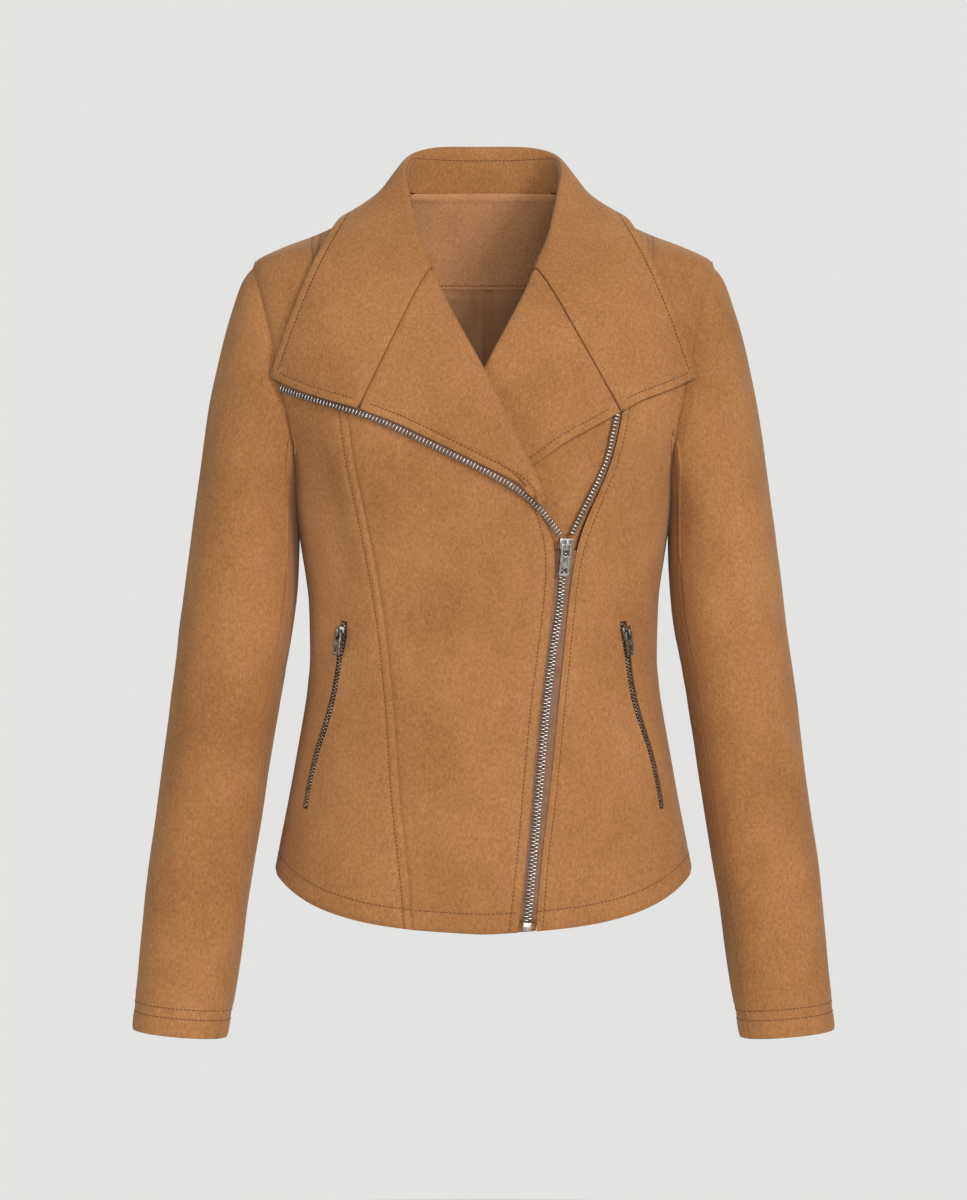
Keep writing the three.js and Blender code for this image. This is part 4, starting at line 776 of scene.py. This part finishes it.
def dress(name):
    """One cut piece of cloth around its solid, and the places of its stitches."""
    finish, wall, levels, flat = CLOTH[name]
    rolls = finish not in NO_ROLL
    bm = merged_copy(name)
    keep_outer_side(bm, SLIT_WALL_EDGE if name in SLIT_PIECES else WALL_EDGE)
    if name.endswith("sleeve"):
        peel_rim(bm)
    area = sum(face.calc_area() for face in bm.faces)
    if name in SLIT_PIECES:
        bm = without_slit(bm, SLIT_PIECES[name][1])
    corners = border_corners(bm)
    marks = [vert.co.copy() for vert in corners]
    if rolls:
        inner = bm.faces[:]
        for thickness in ROLL_INSETS:
            made = bmesh.ops.inset_region(
                bm, faces=inner, thickness=thickness, use_boundary=True, use_even_offset=False)
            rim = set(made["faces"])
            inner = [face for face in inner if face not in rim]
    mesh = subdivided(bm, name + "_cloth", levels, corners)
    bm.free()
    loops = border_loops(mesh)
    paths = [
        (stitch_path(loops[0], marks, near, distance, free), inside)
        for piece, near, distance, free, inside in STITCH_ROWS if piece == name
    ]
    shown = [evenly(path, MM)[0] for path, inside in paths if not inside]
    stitches = [Vector(place) for row in shown for place in row]
    shape_sheet(name, mesh, loops, stitches, rolls)
    mesh.shade_smooth()
    mesh.materials.clear()
    mesh.materials.append(MATERIALS[finish])
    mesh.materials.append(MATERIALS["satin"])
    piece = bpy.data.objects.new(name + "_cloth", mesh)
    bpy.context.scene.collection.objects.link(piece)
    thick = piece.modifiers.new("wall", "SOLIDIFY")
    thick.thickness = wall
    thick.offset = -1
    thick.use_even_offset = False
    if name in LINED:
        thick.material_offset = 1
    if name in SLIT_PIECES:
        cut_slit(piece, SLIT_PIECES[name][0])
    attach(piece, "root")
    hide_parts(name)
    surface = BVHTree.FromPolygons(
        [v.co[:] for v in mesh.vertices], [p.vertices[:] for p in mesh.polygons])
    places = []
    for path, inside in paths:
        for place, along in zip(*evenly(path, STITCH_PITCH)):
            spot, normal, _, _ = surface.find_nearest(Vector(place))
            if inside:
                spot, normal = spot - normal * (wall + STITCH_INSIDE), -normal
            places.append(placement(spot + normal * STITCH_LIFT, along, normal))
    return places


def stitch_template():
    bm = bmesh.new()
    bmesh.ops.create_uvsphere(bm, u_segments=6, v_segments=5, radius=1)
    bmesh.ops.rotate(bm, verts=bm.verts, matrix=Matrix.Rotation(math.pi / 2, 3, "Y"))
    bmesh.ops.scale(bm, verts=bm.verts, vec=STITCH_SIZE)
    return bm


# Zips

def strip_path(node):
    """Middle line of a strip from its top end, with the direction it faces at each point."""
    bm = merged_copy(node)
    keep_outer_side(bm)

    def neighbours(face):
        return [(e, f) for e in face.edges for f in e.link_faces if f is not face]

    ends = [face for face in bm.faces if len(neighbours(face)) == 1]
    face = max(ends, key=lambda f: f.calc_center_median().z)
    joined = neighbours(face)[0][0]
    ends_edge = max(face.edges, key=lambda e: (middle_of(e) - middle_of(joined)).length)
    path = [(middle_of(ends_edge), face.normal.copy())]
    came_from = None
    while True:
        ahead = [(e, f) for e, f in neighbours(face) if f is not came_from]
        if not ahead:
            last = max(face.edges, key=lambda e: (middle_of(e) - path[-1][0]).length)
            path.append((middle_of(last), face.normal.copy()))
            break
        edge, following = ahead[0]
        path.append((middle_of(edge), (face.normal + following.normal).normalized()))
        came_from, face = face, following
    bm.free()
    return path


def middle_of(edge):
    return (edge.verts[0].co + edge.verts[1].co) / 2


def smooth_path(path, pitch):
    """The strip's line rounded off, as (place, direction, facing) at an even pitch."""
    places = np.array([p[0][:] for p in path])
    facing = np.array([p[1][:] for p in path])
    for _ in range(2):
        cut = []
        for a, b in zip(places, places[1:]):
            cut += [a * 0.75 + b * 0.25, a * 0.25 + b * 0.75]
        turned = []
        for a, b in zip(facing, facing[1:]):
            turned += [a * 0.75 + b * 0.25, a * 0.25 + b * 0.75]
        places = np.array([places[0], *cut, places[-1]])
        facing = np.array([facing[0], *turned, facing[-1]])
    steps = np.linalg.norm(np.diff(places, axis=0), axis=1)
    run = np.concatenate([[0], np.cumsum(steps)])
    spots, along = evenly(places, pitch)
    count = len(spots)
    at = (np.arange(count) + 0.5) * run[-1] / count
    normals = np.stack([np.interp(at, run, facing[:, k]) for k in range(3)], axis=1)
    return list(zip(spots, along, normals))


def tooth_template(width, length, height):
    """One tooth: broad at the tape, with a narrower head. Its width lies along y."""
    bm = bmesh.new()
    bmesh.ops.create_cube(bm, size=1)
    bmesh.ops.scale(bm, verts=bm.verts, vec=(length, width, height))
    for vert in bm.verts:
        if vert.co.y > 0:
            vert.co.x *= TOOTH_HEAD
    bmesh.ops.bevel(
        bm, geom=bm.edges[:], offset=TOOTH_BEVEL * length, offset_type="OFFSET", segments=1,
        profile=0.5, affect="EDGES", material=-1)
    return bm


def teeth(node, name, pitch, width, height, sides, sink, material):
    """Rows of teeth along a strip. Sides are 1, -1 or both, where both interlock."""
    template = tooth_template(width, pitch * TOOTH_SHARE, height)
    places = []
    for i, (spot, along, facing) in enumerate(smooth_path(strip_path(node), pitch / len(sides))):
        side = sides[i % len(sides)]
        frame_at = placement(Vector(spot), along, facing)
        turn = Matrix.Rotation(0 if side > 0 else math.pi, 4, "Z")
        apart = -0.5 * width * TOOTH_MESH * (len(sides) - 1)
        offset = Matrix.Translation((0, apart, -sink))
        places.append(frame_at @ turn @ offset)
    piece = scattered(name, template, places, material)
    template.free()
    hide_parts(node)


def hardware(node, name, bevel, material, body):
    """Metal part from its solid, with its edges rounded."""
    bm = bmesh.new()
    bm.from_mesh(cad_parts[node].data)
    bmesh.ops.remove_doubles(bm, verts=bm.verts, dist=MERGE)
    bmesh.ops.dissolve_limit(
        bm, angle_limit=FLAT_METAL, verts=bm.verts[:], edges=bm.edges[:])
    edges = [edge for edge in bm.edges if edge.calc_face_angle(0) > METAL_EDGE]
    bmesh.ops.bevel(
        bm, geom=edges, offset=bevel, offset_type="OFFSET", segments=2, profile=0.5,
        affect="EDGES", clamp_overlap=True, material=-1)
    mesh = bpy.data.meshes.new(name)
    bm.to_mesh(mesh)
    bm.free()
    mesh.shade_smooth()
    mesh.set_sharp_from_angle(angle=METAL_SHARP)
    mesh.materials.clear()
    mesh.materials.append(material)
    piece = bpy.data.objects.new(name, mesh)
    bpy.context.scene.collection.objects.link(piece)
    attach(piece, body)
    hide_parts(node)


# Room and camera

def stage():
    bm = bmesh.new()
    bmesh.ops.create_circle(bm, cap_ends=True, segments=FLOOR_SIDES, radius=FLOOR_RADIUS)
    bmesh.ops.translate(bm, verts=bm.verts, vec=(0, 0, FLOOR_HEIGHT))
    mesh = bpy.data.meshes.new("floor")
    bm.to_mesh(mesh)
    bm.free()
    material, tree, shader = new_material("pale_floor", (0.77, 0.77, 0.755), 0.9)
    cloud = noise_node(tree, 3, 2)
    tint = ramp_node(tree, cloud, ((0.3, (0.76, 0.76, 0.745)), (0.7, (0.78, 0.78, 0.765))))
    tree.links.new(tint, shader.inputs["Base Color"])
    mesh.materials.append(material)
    floor = bpy.data.objects.new("floor", mesh)
    bpy.context.scene.collection.objects.link(floor)


def softbox(name, place, size, power, colour):
    light = bpy.data.lights.new(name, "AREA")
    light.shape = "RECTANGLE"
    light.size, light.size_y = size
    light.energy = power
    light.color = colour
    lamp = bpy.data.objects.new(name, light)
    lamp.location = place
    aim = Vector(LIT_PLACE) - Vector(place)
    lamp.rotation_euler = aim.to_track_quat("-Z", "Y").to_euler()
    bpy.context.scene.collection.objects.link(lamp)


def room():
    world = bpy.data.worlds.new("studio")
    bpy.context.scene.world = world
    world.use_nodes = True
    tree = world.node_tree
    tree.nodes.clear()
    backdrop = tree.nodes.new("ShaderNodeBackground")
    backdrop.inputs["Color"].default_value = BACKDROP
    ambient = tree.nodes.new("ShaderNodeBackground")
    ambient.inputs["Color"].default_value = AMBIENT
    ambient.inputs["Strength"].default_value = AMBIENT_STRENGTH
    rays = tree.nodes.new("ShaderNodeLightPath")
    mix = tree.nodes.new("ShaderNodeMixShader")
    output = tree.nodes.new("ShaderNodeOutputWorld")
    tree.links.new(rays.outputs["Is Camera Ray"], mix.inputs[0])
    tree.links.new(ambient.outputs[0], mix.inputs[1])
    tree.links.new(backdrop.outputs[0], mix.inputs[2])
    tree.links.new(mix.outputs[0], output.inputs[0])
    for name, (place, size, power, colour) in LIGHTS.items():
        softbox(name, place, size, power, colour)
    bpy.context.scene.view_settings.view_transform = "Standard"


def camera():
    lens = bpy.data.cameras.new("camera")
    lens.lens = CAMERA_LENS
    lens.sensor_width = SENSOR_WIDTH
    eye = bpy.data.objects.new("camera", lens)
    eye.location = (0, -CAMERA_DISTANCE, CAMERA_HEIGHT)
    eye.rotation_euler = (math.pi / 2, 0, 0)
    bpy.context.scene.collection.objects.link(eye)
    bpy.context.scene.camera = eye


# The jacket

stitch_places = []
for piece_name in CLOTH:
    stitch_places += dress(piece_name)
threads = scattered("topstitching", stitch_template(), stitch_places, MATERIALS["thread"])

teeth("closed_zip_chain", "closed_zip_teeth", TOOTH_PITCH, CLOSED_TOOTH_WIDTH, TOOTH_HEIGHT,
      (1, -1), TOOTH_SINK, MATERIALS["silver"])
for side_name in ("right", "left"):
    teeth(f"{side_name}_open_zip_chain", f"{side_name}_open_zip_teeth", TOOTH_PITCH,
          OPEN_TOOTH_WIDTH, TOOTH_HEIGHT, (1,), TOOTH_SINK, MATERIALS["silver"])
for side_name in ("right", "left"):
    teeth(f"{side_name}_pocket_chain", f"{side_name}_pocket_teeth", POCKET_TOOTH_PITCH,
          POCKET_TOOTH_WIDTH, POCKET_TOOTH_HEIGHT, (1, -1), POCKET_TOOTH_SINK,
          MATERIALS["brown_metal"])
    hardware(f"{side_name}_pocket_slider", f"{side_name}_pocket_slider_metal", POCKET_BEVEL,
             MATERIALS["dark_metal"], "root")
    hardware(f"{side_name}_pocket_pull_tab", f"{side_name}_pocket_tab_metal", POCKET_BEVEL,
             MATERIALS["dark_metal"], f"{side_name}_pocket_tab")
hardware("main_zip_slider", "main_slider_metal", SLIDER_BEVEL, MATERIALS["silver"],
         "root")
hardware("main_zip_pull_tab", "main_tab_metal", SLIDER_BEVEL, MATERIALS["silver"],
         "main_tab")
hardware("zip_retainer_box", "retainer_box_metal", RETAINER_BEVEL, MATERIALS["silver"],
         "root")

stage()
room()
camera()
